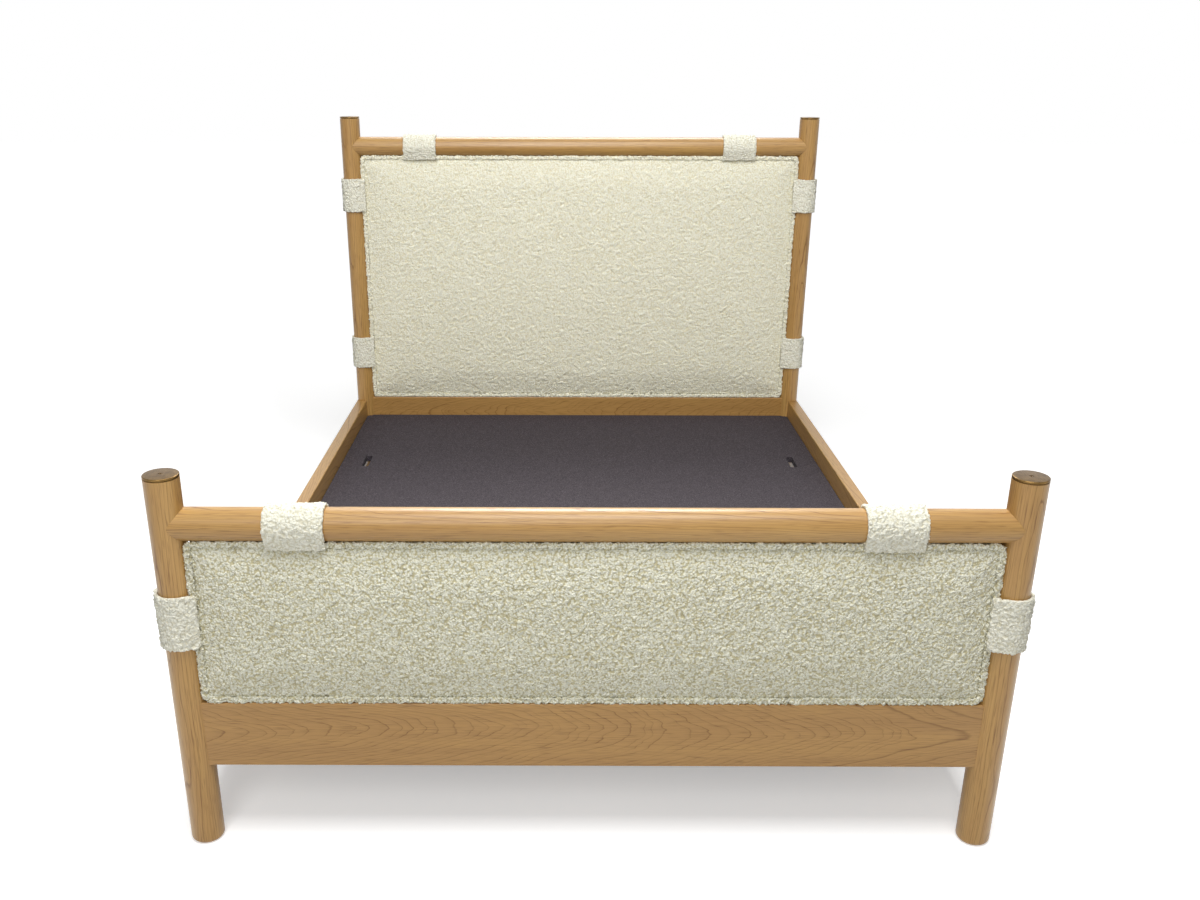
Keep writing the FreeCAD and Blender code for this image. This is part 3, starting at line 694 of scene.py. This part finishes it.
@dataclass(frozen=True)
class FittingFinish:
    """A plain fitting, either zinc-plated steel or moulded nylon, with a fine uneven skin."""

    name: str
    light: str
    shade: str
    metallic: float
    roughness: float
    # The real grit is finer, which would not show from across a room
    grit: float = 3 * MM

    def material(self) -> Material:
        """Builds the fitting's skin.

        Returns:
            The material.
        """
        material, tree, shader, place = new_material(self.name, {"Metallic": self.metallic})
        mottle = add_node(tree, "TexNoise", {"Scale": 1 / self.grit, "Detail": 3.0}, {"Vector": place})
        colour = add_node(
            tree, "ValToRGB", {"ramp": [(0.35, self.shade), (0.65, self.light)]}, {"Fac": mottle}
        )
        tree.links.new(colour.outputs["Color"], shader.inputs["Base Color"])
        gloss = add_node(
            tree, "MapRange", {1: 0.3, 2: 0.7, 3: self.roughness, 4: self.roughness + 0.15}, {0: mottle}
        )
        tree.links.new(gloss.outputs[0], shader.inputs["Roughness"])
        return material


@dataclass
class OakFrame:
    """The posts and rails, which keep their CAD shapes."""

    frame: dict[str, Any]
    # Each heart is given from the piece's middle across the grain, and from the origin along it
    post: WoodFinish = WoodFinish("oak_post", Along.Z, (0.05, 0.06, 0.3), 0.016)
    top_rail: WoodFinish = WoodFinish("oak_top_rail", Along.X, (0.3, -0.012, -0.075), 0.03)
    lower_rail: WoodFinish = WoodFinish(
        "oak_lower_rail",
        Along.X,
        (0.1, 0.018, 0.012),
        0.2,
        pale="#B98F50",
        deep="#A27943",
        ring=6.2 * MM,
        wander=60 * MM,
    )
    side_rail: WoodFinish = WoodFinish("oak_side_rail", Along.Y, (-0.09, 0.4, -0.02), 0.06)

    def build(self) -> None:
        """Lays the grain along each piece."""
        sides = (("left", 1), ("right", -1))
        for end, turn in (("foot", 1), ("head", -1)):
            self.lay(f"top_rail_{end}", self.top_rail, turn)
            self.lay(f"lower_rail_{end}", self.lower_rail, turn)
            for side, side_turn in sides:
                self.lay(f"post_{end}_{side}", self.post, side_turn)
        for side, side_turn in sides:
            self.lay(f"side_rail_{side}", self.side_rail, side_turn)

    def lay(self, node: str, wood: WoodFinish, turn: int) -> None:
        """Lays the grain along one piece.

        Args:
            node: the piece's CAD node.
            wood: the finish of its kind.
            turn: 1, or -1 for a piece that is cut the other way round.
        """
        low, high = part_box(node)
        middle = (low + high) / 2
        middle[wood.along.value] = 0.0
        aside = Vector(wood.heart)
        if wood.along is not Along.X:
            aside.x *= turn
        cut = replace(
            wood, name=f"oak_{node}", heart=tuple(middle + aside), slope=turn * wood.slope
        )
        dress_nodes(self.frame, [node], cut.material())


@dataclass
class Underframe:
    """What lies under the deck and inside the pads, with the CAD's own shapes."""

    frame: dict[str, Any]
    pine: WoodFinish = WoodFinish(
        "pine_slats", Along.X, (0.0, 0.35, 0.05), 0.01, "#C4A170", "#AE8A58", "#86633A"
    )
    steel: FittingFinish = FittingFinish("zinc_plated_steel", "#B9BCBE", "#9A9D9F", 1.0, 0.35)
    nylon: FittingFinish = FittingFinish("moulded_nylon", "#3A3A3B", "#2C2C2D", 0.0, 0.5)

    def build(self) -> None:
        """Gives each hidden piece the finish of what it is made of."""
        lengthwise = replace(self.pine, name="pine_beam", along=Along.Y, heart=(0.1, 0.0, 0.02))
        upright = replace(self.pine, name="pine_legs", along=Along.Z, heart=(0.12, 0.1, 0.0))
        slats = [name for name in self.frame["nodes"] if name.startswith("slat_")]
        for finish, names in (
            (self.pine, slats + ["foot_pad_board", "head_pad_board"]),
            (lengthwise, ["centre_beam", "cleat_left", "cleat_right"]),
            (upright, ["centre_leg_foot", "centre_leg_head"]),
            (self.steel, ["hook_plates", "catch_plates", "beam_stirrups", "cleat_screws"]),
            (self.nylon, ["glide_foot", "glide_head"]),
        ):
            dress_nodes(self.frame, names, finish.material())


@dataclass
class DeckPanels:
    """The two halves of the deck, which lift out."""

    frame: dict[str, Any]
    finish: DeckFinish = DeckFinish()

    def build(self) -> None:
        """Faces both panels with film."""
        dress_nodes(self.frame, ["deck_panel_foot", "deck_panel_head"], self.finish.material())


@dataclass
class PostCaps:
    """Turned metal caps on the posts, each with a socket screw in its middle."""

    finish: BronzeFinish = BronzeFinish()
    sides: int = 96
    thickness: float = 4 * MM
    gap: float = 2.2 * MM
    neck_inset: float = 3 * MM
    rim_round: float = 1.8 * MM
    screw_radius: float = 4 * MM
    screw_depth: float = 0.6 * MM
    screw_sides: int = 48
    screw_sink: float = 0.3 * MM
    screw_round: float = 0.25 * MM
    screw_gap: float = 0.4 * MM
    socket_radius: float = 2.1 * MM
    socket_depth: float = 1.6 * MM

    def build(self) -> None:
        """Models one cap and one screw and sets a copy on each post."""
        metal = self.finish.material()
        cap = self.cap()
        screw = self.screw()
        screws = []
        for end in ("foot", "head"):
            for side in ("left", "right"):
                node = f"cap_{end}_{side}"
                low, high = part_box(node)
                top = Vector(((low.x + high.x) / 2, (low.y + high.y) / 2, high.z))
                piece = self.copied(cap, f"{node}_turned", top)
                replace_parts(dress(piece, metal, "frame"), node)
                screws.append(self.copied(screw, f"cap_screw_{end}_{side}", top))
        for pattern in (cap, screw):
            bpy.data.objects.remove(pattern)
        only(*screws)
        bpy.ops.object.join()
        joined = bpy.context.object
        joined.name = "cap_socket_screws"
        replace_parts(dress(joined, metal, "frame"), "cap_screws")

    @staticmethod
    def copied(pattern: Object, name: str, place: Vector) -> Object:
        """Copies a pattern piece, with its own mesh, to a place.

        Args:
            pattern: the modelled piece, at the origin.
            name: the copy's name.
            place: where the copy's origin goes.

        Returns:
            The copy.
        """
        only(pattern)
        bpy.ops.object.duplicate(linked=False)
        piece = bpy.context.object
        piece.location = place
        return added(name)

    def cap(self) -> Object:
        """Models a cap whose top face lies at the origin's height.

        Returns:
            The pattern for the caps.
        """
        low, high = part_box("cap_foot_left")
        radius = (high.x - low.x) / 2
        bpy.ops.mesh.primitive_circle_add(
            vertices=self.sides, radius=radius, fill_type="NGON", location=(0, 0, -self.thickness)
        )
        piece = added("cap_pattern")
        bpy.ops.object.mode_set(mode="EDIT")
        bpy.ops.mesh.select_mode(type="FACE")
        bpy.ops.mesh.select_all(action="SELECT")
        extrude(0, 0, self.thickness)
        bpy.ops.mesh.select_all(action="SELECT")
        bpy.ops.mesh.normals_make_consistent(inside=False)
        bpy.ops.mesh.select_mode(type="EDGE")
        pick_edges(piece, lambda middle, way: middle.z > -self.rim_round and abs(way.z) < 0.5)
        bpy.ops.mesh.bevel(offset=self.rim_round, segments=6, affect="EDGES")
        bpy.ops.mesh.select_mode(type="FACE")
        pick_faces(piece, lambda middle, normal: normal.z < -0.9)
        bpy.ops.mesh.inset(thickness=self.neck_inset)
        extrude(0, 0, -self.gap)
        pick_faces(piece, lambda middle, normal: normal.z > 0.999 and middle.z > -LEVEL_GAP)
        seat = radius - self.rim_round - self.screw_radius - self.screw_gap
        bpy.ops.mesh.inset(thickness=seat)
        extrude(0, 0, -self.screw_depth - self.socket_depth)
        bpy.ops.object.mode_set(mode="OBJECT")
        bpy.ops.object.shade_smooth_by_angle(angle=math.radians(40))
        return piece

    def screw(self) -> Object:
        """Models a screw's head with its six-sided socket, just under the cap's face.

        Returns:
            The pattern for the screws.
        """
        depth = self.screw_depth + self.socket_depth
        bpy.ops.mesh.primitive_cylinder_add(
            vertices=self.screw_sides,
            radius=self.screw_radius,
            depth=depth,
            location=(0, 0, -depth / 2 - self.screw_sink),
        )
        piece = added("screw_pattern")
        bpy.ops.mesh.primitive_cylinder_add(
            vertices=6,
            radius=self.socket_radius,
            depth=2 * self.socket_depth,
            location=(0, 0, -self.screw_sink),
        )
        key = added("socket_pattern")
        apply_modifier(piece, "BOOLEAN", object=key, operation="DIFFERENCE", solver="EXACT")
        bpy.data.objects.remove(key)
        apply_modifier(piece, "BEVEL", width=self.screw_round, segments=2, limit_method="ANGLE")
        only(piece)
        bpy.ops.object.shade_smooth_by_angle(angle=math.radians(35))
        return piece


@dataclass
class Pad:
    """One end's pad: a stuffed body, with a flat flange sewn round each face."""

    end: str
    cloth: BoucleFinish
    trim: BoucleFinish
    material: Material
    voxel: float
    fineness: int = 2
    flange_width: float = 13 * MM
    flange_thickness: float = 5 * MM
    flange_voxel: float = 2.1 * MM
    corner: float = 16 * MM
    tuck: float = 8 * MM
    slack: float = 5 * MM
    groove: float = 5 * MM
    crown: float = 12 * MM
    shoulder: float = 32 * MM
    # A lifted deck panel passes the inner flange's lower edge, so the loops are shorter there
    pass_height: float = 4 * MM
    least_loop: float = 0.3
    fill_share: float = 0.75
    pressure: float = 4.0
    frames: int = 20

    def build(self) -> None:
        """Makes the body and both flanges and sews them into one piece."""
        body = self.body()
        flanges = [self.flange(face) for face in Face]
        only(body, *flanges)
        bpy.ops.object.join()
        pad = bpy.context.object
        dress(pad, self.material, "frame")
        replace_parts(pad, *(f"{self.end}_pad_{face.value}" for face in Face))

    def corners(self) -> tuple[Vector, Vector]:
        """Finds the box of the pad's two CAD halves.

        Returns:
            Its lowest and highest corners.
        """
        boxes = [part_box(f"{self.end}_pad_{face.value}") for face in Face]
        low = Vector(min(low[axis] for low, high in boxes) for axis in range(3))
        high = Vector(max(high[axis] for low, high in boxes) for axis in range(3))
        return low, high

    def body(self) -> Object:
        """Models the stuffed body inside the seams.

        Returns:
            The body, with its loops raised.
        """
        low, high = self.corners()
        inset = self.flange_width - self.tuck
        size = high - low - 2 * Vector((inset, self.crown + self.slack, inset))
        bpy.ops.mesh.primitive_cube_add(size=1, location=(low + high) / 2)
        piece = added(f"{self.end}_pad", size)
        bpy.ops.object.mode_set(mode="EDIT")
        bpy.ops.mesh.select_mode(type="EDGE")
        pick_edges(piece, lambda middle, way: abs(way.y) > 0.9)
        bpy.ops.mesh.bevel(offset=self.corner, segments=4, affect="EDGES")
        bpy.ops.object.mode_set(mode="OBJECT")
        apply_modifier(piece, "REMESH", mode="VOXEL", voxel_size=self.voxel)
        self.swell(piece)
        apply_modifier(piece, "SUBSURF", levels=self.fineness, render_levels=self.fineness)
        self.cloth.raise_loops(piece)
        return piece

    def swell(self, piece: Object) -> None:
        """Fills the body to a rounded shoulder and swells it by a short cloth simulation.

        Args:
            piece: the remeshed body.
        """
        rest = places(piece)
        low, high = (np.array(corner) for corner in self.corners())
        flat = rest[:, (0, 2)]
        reach = np.minimum(flat - low[[0, 2]], high[[0, 2]] - flat).min(axis=1)
        reach -= self.flange_width + self.groove
        free = reach > 0
        side = np.sign(rest[:, 1] - (low[1] + high[1]) / 2)
        most = self.crown + self.slack
        rise = most * np.tanh(np.maximum(reach, 0) / self.shoulder)
        filled = np.outer(side * rise, (0, 1, 0))
        rest = rest + self.fill_share * filled
        move_to(piece, rest)
        seam = piece.vertex_groups.new(name="seam")
        seam.add(np.nonzero(~free)[0].tolist(), 1.0, "REPLACE")
        cloth = piece.modifiers.new("Stuffing", "CLOTH")
        cloth.settings.vertex_group_mass = seam.name
        cloth.settings.use_pressure = True
        cloth.settings.uniform_pressure_force = self.pressure
        cloth.settings.effector_weights.gravity = 0.0
        cloth.point_cache.frame_start = 1
        cloth.point_cache.frame_end = self.frames
        scene = bpy.context.scene
        for number in range(1, self.frames + 1):
            scene.frame_set(number)
        only(piece)
        bpy.ops.object.modifier_apply(modifier=cloth.name)
        scene.frame_set(1)
        piece.vertex_groups.clear()
        moved = places(piece) - rest
        grown = np.linalg.norm(moved, axis=1, keepdims=True)
        most *= 1 - self.fill_share
        log.info("%s: swelled by up to %.1f mm before its cap", piece.name, grown.max() / MM)
        capped = most * np.tanh(grown / most) / np.maximum(grown, LEAST_LENGTH)
        move_to(piece, rest + moved * capped)

    def flange(self, face: Face) -> Object:
        """Models the flat flange round one face.

        Args:
            face: which face it goes round.

        Returns:
            The flange, with its loops raised.
        """
        low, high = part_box(f"{self.end}_pad_{face.value}")
        whole_low, whole_high = self.corners()
        middle = (whole_low.y + whole_high.y) / 2
        outward = 1 if (low.y + high.y) / 2 > middle else -1
        depth = (whole_high.y - whole_low.y) / 2 - self.crown
        bpy.ops.mesh.primitive_plane_add(
            size=1,
            location=((low.x + high.x) / 2, middle + outward * depth, (low.z + high.z) / 2),
            rotation=(math.pi / 2, 0, 0),
        )
        size = (high.x - low.x, high.z - low.z, 1)
        piece = added(f"{self.end}_pad_flange_{face.value}", size)
        bpy.ops.object.mode_set(mode="EDIT")
        bpy.ops.mesh.select_all(action="SELECT")
        bpy.ops.mesh.bevel(offset=self.corner, segments=5, affect="VERTICES")
        bpy.ops.mesh.select_mode(type="FACE")
        bpy.ops.mesh.select_all(action="SELECT")
        bpy.ops.mesh.inset(thickness=self.flange_width)
        bpy.ops.mesh.delete(type="FACE")
        bpy.ops.mesh.select_all(action="SELECT")
        extrude(0, -outward * self.flange_thickness, 0)
        bpy.ops.mesh.select_all(action="SELECT")
        bpy.ops.mesh.normals_make_consistent(inside=False)
        bpy.ops.object.mode_set(mode="OBJECT")
        apply_modifier(piece, "REMESH", mode="VOXEL", voxel_size=self.flange_voxel)
        apply_modifier(piece, "SMOOTH", factor=0.5, iterations=3)
        free = None
        if face is Face.INNER:
            free = np.clip((places(piece)[:, 2] - low.z) / self.pass_height, self.least_loop, 1)
        self.trim.raise_loops(piece, free)
        return piece


@dataclass
class Strap:
    """A padded strap that loops round a bar, with both ends sewn into the pad's flanges."""

    node: str
    bar: Bar
    cloth: BoucleFinish
    material: Material
    thickness: float = 7 * MM
    seat: float = 23 * MM
    reach: float = 43 * MM
    voxel: float = 1.9 * MM
    steps: int = 36

    def build(self) -> None:
        """Models the strap, covers it and hangs it on its bar."""
        low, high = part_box(self.node)
        radius = (high.y - low.y) / 2
        if self.bar is Bar.RAIL:
            width = high.x - low.x
            axis = Vector(((low.x + high.x) / 2, (low.y + high.y) / 2, high.z - radius))
            turn = Matrix.Identity(4)
        else:
            width = high.z - low.z
            left = low.x < 0
            bar_x = low.x + radius if left else high.x - radius
            axis = Vector((bar_x, (low.y + high.y) / 2, (low.z + high.z) / 2))
            turn = Matrix.Rotation(math.radians(-90 if left else 90), 4, "Y")
        piece = self.band(width, radius)
        spots = places(piece)
        from_axis = np.hypot(spots[:, 1], spots[:, 2])
        free = np.clip((from_axis - radius + self.thickness) / self.thickness, 0, 1)
        piece.matrix_world = Matrix.Translation(axis) @ turn
        only(piece)
        bpy.ops.object.transform_apply(location=True, rotation=True, scale=True)
        self.cloth.raise_loops(piece, free)
        dress(piece, self.material, "frame")
        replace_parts(piece, self.node)

    def band(self, width: float, radius: float) -> Object:
        """Draws a band up to the X axis, round it and down again to where the pad hangs.

        Args:
            width: the band's width along the bar.
            radius: its outer radius.

        Returns:
            The band, finely remeshed.
        """
        middle = radius - self.thickness / 2
        end = Vector((0, self.seat, -self.reach))
        leave = math.atan2(end.y, -end.z) + math.acos(middle / end.length)
        tangent = Vector((0, middle * math.sin(leave), -middle * math.cos(leave)))
        rise = tangent - end
        bpy.ops.mesh.primitive_plane_add(size=1, location=end, rotation=(leave - math.pi / 2, 0, 0))
        piece = added(f"{self.node}_boucle", (width, self.thickness, 1))
        bpy.ops.object.mode_set(mode="EDIT")
        bpy.ops.mesh.select_mode(type="FACE")
        bpy.ops.mesh.select_all(action="SELECT")
        extrude(*rise)
        bpy.ops.mesh.spin(
            steps=self.steps, angle=math.tau - 2 * leave, center=(0, 0, 0), axis=(-1, 0, 0)
        )
        extrude(0, rise.y, -rise.z)
        bpy.ops.mesh.select_all(action="SELECT")
        bpy.ops.mesh.remove_doubles(threshold=MERGE_GAP)
        bpy.ops.mesh.normals_make_consistent(inside=False)
        bpy.ops.object.mode_set(mode="OBJECT")
        apply_modifier(piece, "REMESH", mode="VOXEL", voxel_size=self.voxel)
        apply_modifier(piece, "SMOOTH", factor=0.5, iterations=6)
        return piece


@dataclass
class Upholstery:
    """The two pads and the ten straps that hold them."""

    near_cloth: BoucleFinish = BoucleFinish("wool_boucle_foot")
    # The head pad's mesh is coarser for its size, so its curls are drawn fainter, with less bump and a
    # paler painted shade in the pits
    far_cloth: BoucleFinish = BoucleFinish(
        "wool_boucle_head", mid="#F1EED8", pit_shade="#E6DFC0", curl_height=2.4 * MM, loop=9 * MM
    )
    strap_cloth: BoucleFinish = BoucleFinish(
        "wool_boucle_strap",
        top="#F6F5E7",
        mid="#F1EFDF",
        pit_shade="#E0DBC4",
        curl_height=2.2 * MM,
        loop=6 * MM,
        loop_height=3 * MM,
    )
    trim_cloth: BoucleFinish = BoucleFinish(
        "wool_boucle_trim", loop=6 * MM, loop_height=3.8 * MM
    )
    near_voxel: float = 8 * MM
    far_voxel: float = 11 * MM

    def build(self) -> None:
        """Builds the pads, then the straps on each side."""
        for end, cloth, voxel in (
            ("foot", self.near_cloth, self.near_voxel),
            ("head", self.far_cloth, self.far_voxel),
        ):
            Pad(end, cloth, self.trim_cloth, cloth.material(), voxel).build()
        cover = self.strap_cloth.material()
        for side in ("left", "right"):
            for bar, spots in (
                (Bar.RAIL, ("foot_top", "head_top")),
                (Bar.POST, ("foot_side", "head_low", "head_high")),
            ):
                for spot in spots:
                    Strap(f"strap_{spot}_{side}", bar, self.strap_cloth, cover).build()


@dataclass(frozen=True)
class Lamp:
    """A square soft lamp that faces a target, with its side in metres and its beam in degrees."""

    name: str
    place: tuple[float, float, float]
    target: tuple[float, float, float]
    side: float
    watts: float
    beam: float = 180.0

    def hang(self) -> None:
        """Adds the lamp to the scene."""
        bpy.ops.object.light_add(type="AREA", location=self.place)
        lamp = bpy.context.object
        lamp.name = self.name
        lamp.data.energy = self.watts
        lamp.data.size = self.side
        lamp.data.spread = math.radians(self.beam)
        facing = Vector(self.target) - Vector(self.place)
        lamp.rotation_euler = facing.to_track_quat("-Z", "Y").to_euler()


@dataclass
class Studio:
    """A pale floor with a painted shadow under the bed, soft lamps above, in front and behind, and the
    photograph's camera.
    """

    floor_size: float = 40.0
    floor_colour: str = "#F4F4F4"
    bounce_colour: str = "#DFDFDF"
    sky_light: float = 0.14
    # The floor's own glow paints a shadow: it stays dark under the bed and rises over these lengths
    # outside it
    dark_x: float = 0.597
    rise_x: float = 0.417
    rise_y: float = 1.1
    glow_from: float = 0.5
    glow_to: float = 4.0
    lamps: tuple[Lamp, ...] = (
        Lamp("lamp_above", (0.1, -2.0, 4.4), (0.0, -0.6, 0.3), 2.0, 124.0),
        Lamp("lamp_front", (-0.8, -4.2, 2.8), (0.0, -1.0, 0.4), 1.6, 44.0),
        Lamp("lamp_back", (0.0, 2.2, 3.8), (0.0, -1.0, 0.6), 2.0, 25.0, 60.0),
        Lamp("lamp_head", (-0.2, -3.0, 2.9), (0.0, 1.05, 1.15), 1.0, 4.8, 50.0),
    )
    # The turns are in degrees, the lens and the picture's centre in pixels of the photograph
    camera_place: tuple[float, float, float] = (-0.0645, -2.9427, 1.495)
    pitch: float = 21.03
    yaw: float = -0.15
    roll: float = 0.1
    focal_pixels: float = 1106.9
    centre_x: float = 557.1
    centre_y: float = 488.2
    sensor: float = 36.0
    far_clip: float = 100.0

    def build(self) -> None:
        """Sets up the floor, the world, the lamps and the camera."""
        self.floor()
        self.world()
        for lamp in self.lamps:
            lamp.hang()
        self.camera()
        bpy.context.scene.view_settings.view_transform = "Standard"

    def floor(self) -> None:
        """Lays a floor that shows white to the camera and still takes the bed's shadow, with a painted
        shadow where its glow is kept low under and round the bed.
        """
        bpy.ops.mesh.primitive_plane_add(size=self.floor_size)
        floor = added("floor")
        material = bpy.data.materials.new("white_floor_painted_shadow")
        material.use_nodes = True
        tree = material.node_tree
        tree.nodes.clear()
        matt = add_node(tree, "BsdfDiffuse", {"Color": linear(self.floor_colour)})
        dull = add_node(tree, "BsdfDiffuse", {"Color": linear(self.bounce_colour)})
        place = add_node(tree, "TexCoord")
        sizes = add_node(tree, "VectorMath", {"operation": "ABSOLUTE"}, {0: place.outputs["Object"]})
        shares = add_node(
            tree,
            "VectorMath",
            {
                "operation": "MULTIPLY_ADD",
                1: (1 / self.rise_x, 1 / self.rise_y, 1.0),
                2: (-self.dark_x / self.rise_x, 0.0, 0.0),
            },
            {0: sizes},
        )
        sides = add_node(tree, "SeparateXYZ", None, {0: shares})
        outermost = add_node(
            tree, "Math", {"operation": "MAXIMUM"}, {0: sides.outputs[0], 1: sides.outputs[1]}
        )
        spread = add_node(tree, "MapRange", {1: self.glow_from, 2: self.glow_to}, {0: outermost})
        # The glow's ramp paints the shadow: none under the bed, grey close round it, white further out
        painted_shadow_glow = add_node(
            tree,
            "ValToRGB",
            {"ramp": [(0.0, "#000000"), (0.06, "#A4A4A4"), (0.16, "#BCBCBC"), (1.0, "#F4F4F4")]},
            {"Fac": spread},
        )
        glow = add_node(tree, "Emission", None, {"Color": painted_shadow_glow})
        both = add_node(tree, "AddShader", None, {0: matt, 1: glow})
        mixed = add_node(tree, "MixShader", None, {0: self.seen(tree), 1: dull, 2: both})
        add_node(tree, "OutputMaterial", None, {"Surface": mixed})
        floor.data.materials.append(material)

    @staticmethod
    def seen(tree: NodeTree) -> NodeSocket:
        """Adds nodes that give 1 where a ray shows the background itself.

        Args:
            tree: the node tree to add to.

        Returns:
            The socket that gives 1 or 0.
        """
        path = add_node(tree, "LightPath")
        mirrored = add_node(
            tree,
            "Math",
            {"operation": "MAXIMUM"},
            {0: path.outputs["Is Glossy Ray"], 1: path.outputs["Is Transmission Ray"]},
        )
        shown = add_node(
            tree, "Math", {"operation": "MAXIMUM"}, {0: path.outputs["Is Camera Ray"], 1: mirrored}
        )
        return shown.outputs[0]

    def world(self) -> None:
        """Makes a world that shows white and lights the bed softly from all round."""
        world = bpy.data.worlds.new("studio")
        world.use_nodes = True
        bpy.context.scene.world = world
        tree = world.node_tree
        tree.nodes.clear()
        lit, white = (
            add_node(tree, "Background", {"Color": linear("#FFFFFF"), "Strength": strength})
            for strength in (self.sky_light, 1.0)
        )
        mixed = add_node(tree, "MixShader", None, {0: self.seen(tree), 1: lit, 2: white})
        add_node(tree, "OutputWorld", None, {"Surface": mixed})

    def camera(self) -> None:
        """Sets the camera where the photograph was taken from."""
        pitch, yaw, roll = (math.radians(angle) for angle in (self.pitch, self.yaw, self.roll))
        ahead = Vector(
            (math.sin(yaw) * math.cos(pitch), math.cos(yaw) * math.cos(pitch), -math.sin(pitch))
        )
        level = Vector((math.cos(yaw), -math.sin(yaw), 0))
        upward = level.cross(ahead)
        right = math.cos(roll) * level + math.sin(roll) * upward
        above = math.cos(roll) * upward - math.sin(roll) * level
        turn = Matrix((right, above, -ahead)).transposed().to_4x4()
        bpy.ops.object.camera_add()
        camera = bpy.context.object
        camera.name = "photo_camera"
        camera.matrix_world = Matrix.Translation(self.camera_place) @ turn
        camera.data.sensor_width = self.sensor
        camera.data.sensor_fit = "HORIZONTAL"
        camera.data.lens = self.sensor * self.focal_pixels / PHOTO_WIDTH
        camera.data.shift_x = (PHOTO_WIDTH / 2 - self.centre_x) / PHOTO_WIDTH
        camera.data.shift_y = (self.centre_y - PHOTO_HEIGHT / 2) / PHOTO_WIDTH
        camera.data.clip_end = self.far_clip
        bpy.context.scene.camera = camera


def main() -> None:
    """Loads the frame and builds each sub-assembly in order."""
    logging.basicConfig(level=logging.INFO, format="%(name)s %(message)s")
    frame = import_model()
    only()
    OakFrame(frame).build()
    Underframe(frame).build()
    DeckPanels(frame).build()
    PostCaps().build()
    Upholstery().build()
    Studio().build()


if __name__ == "__main__":
    main()
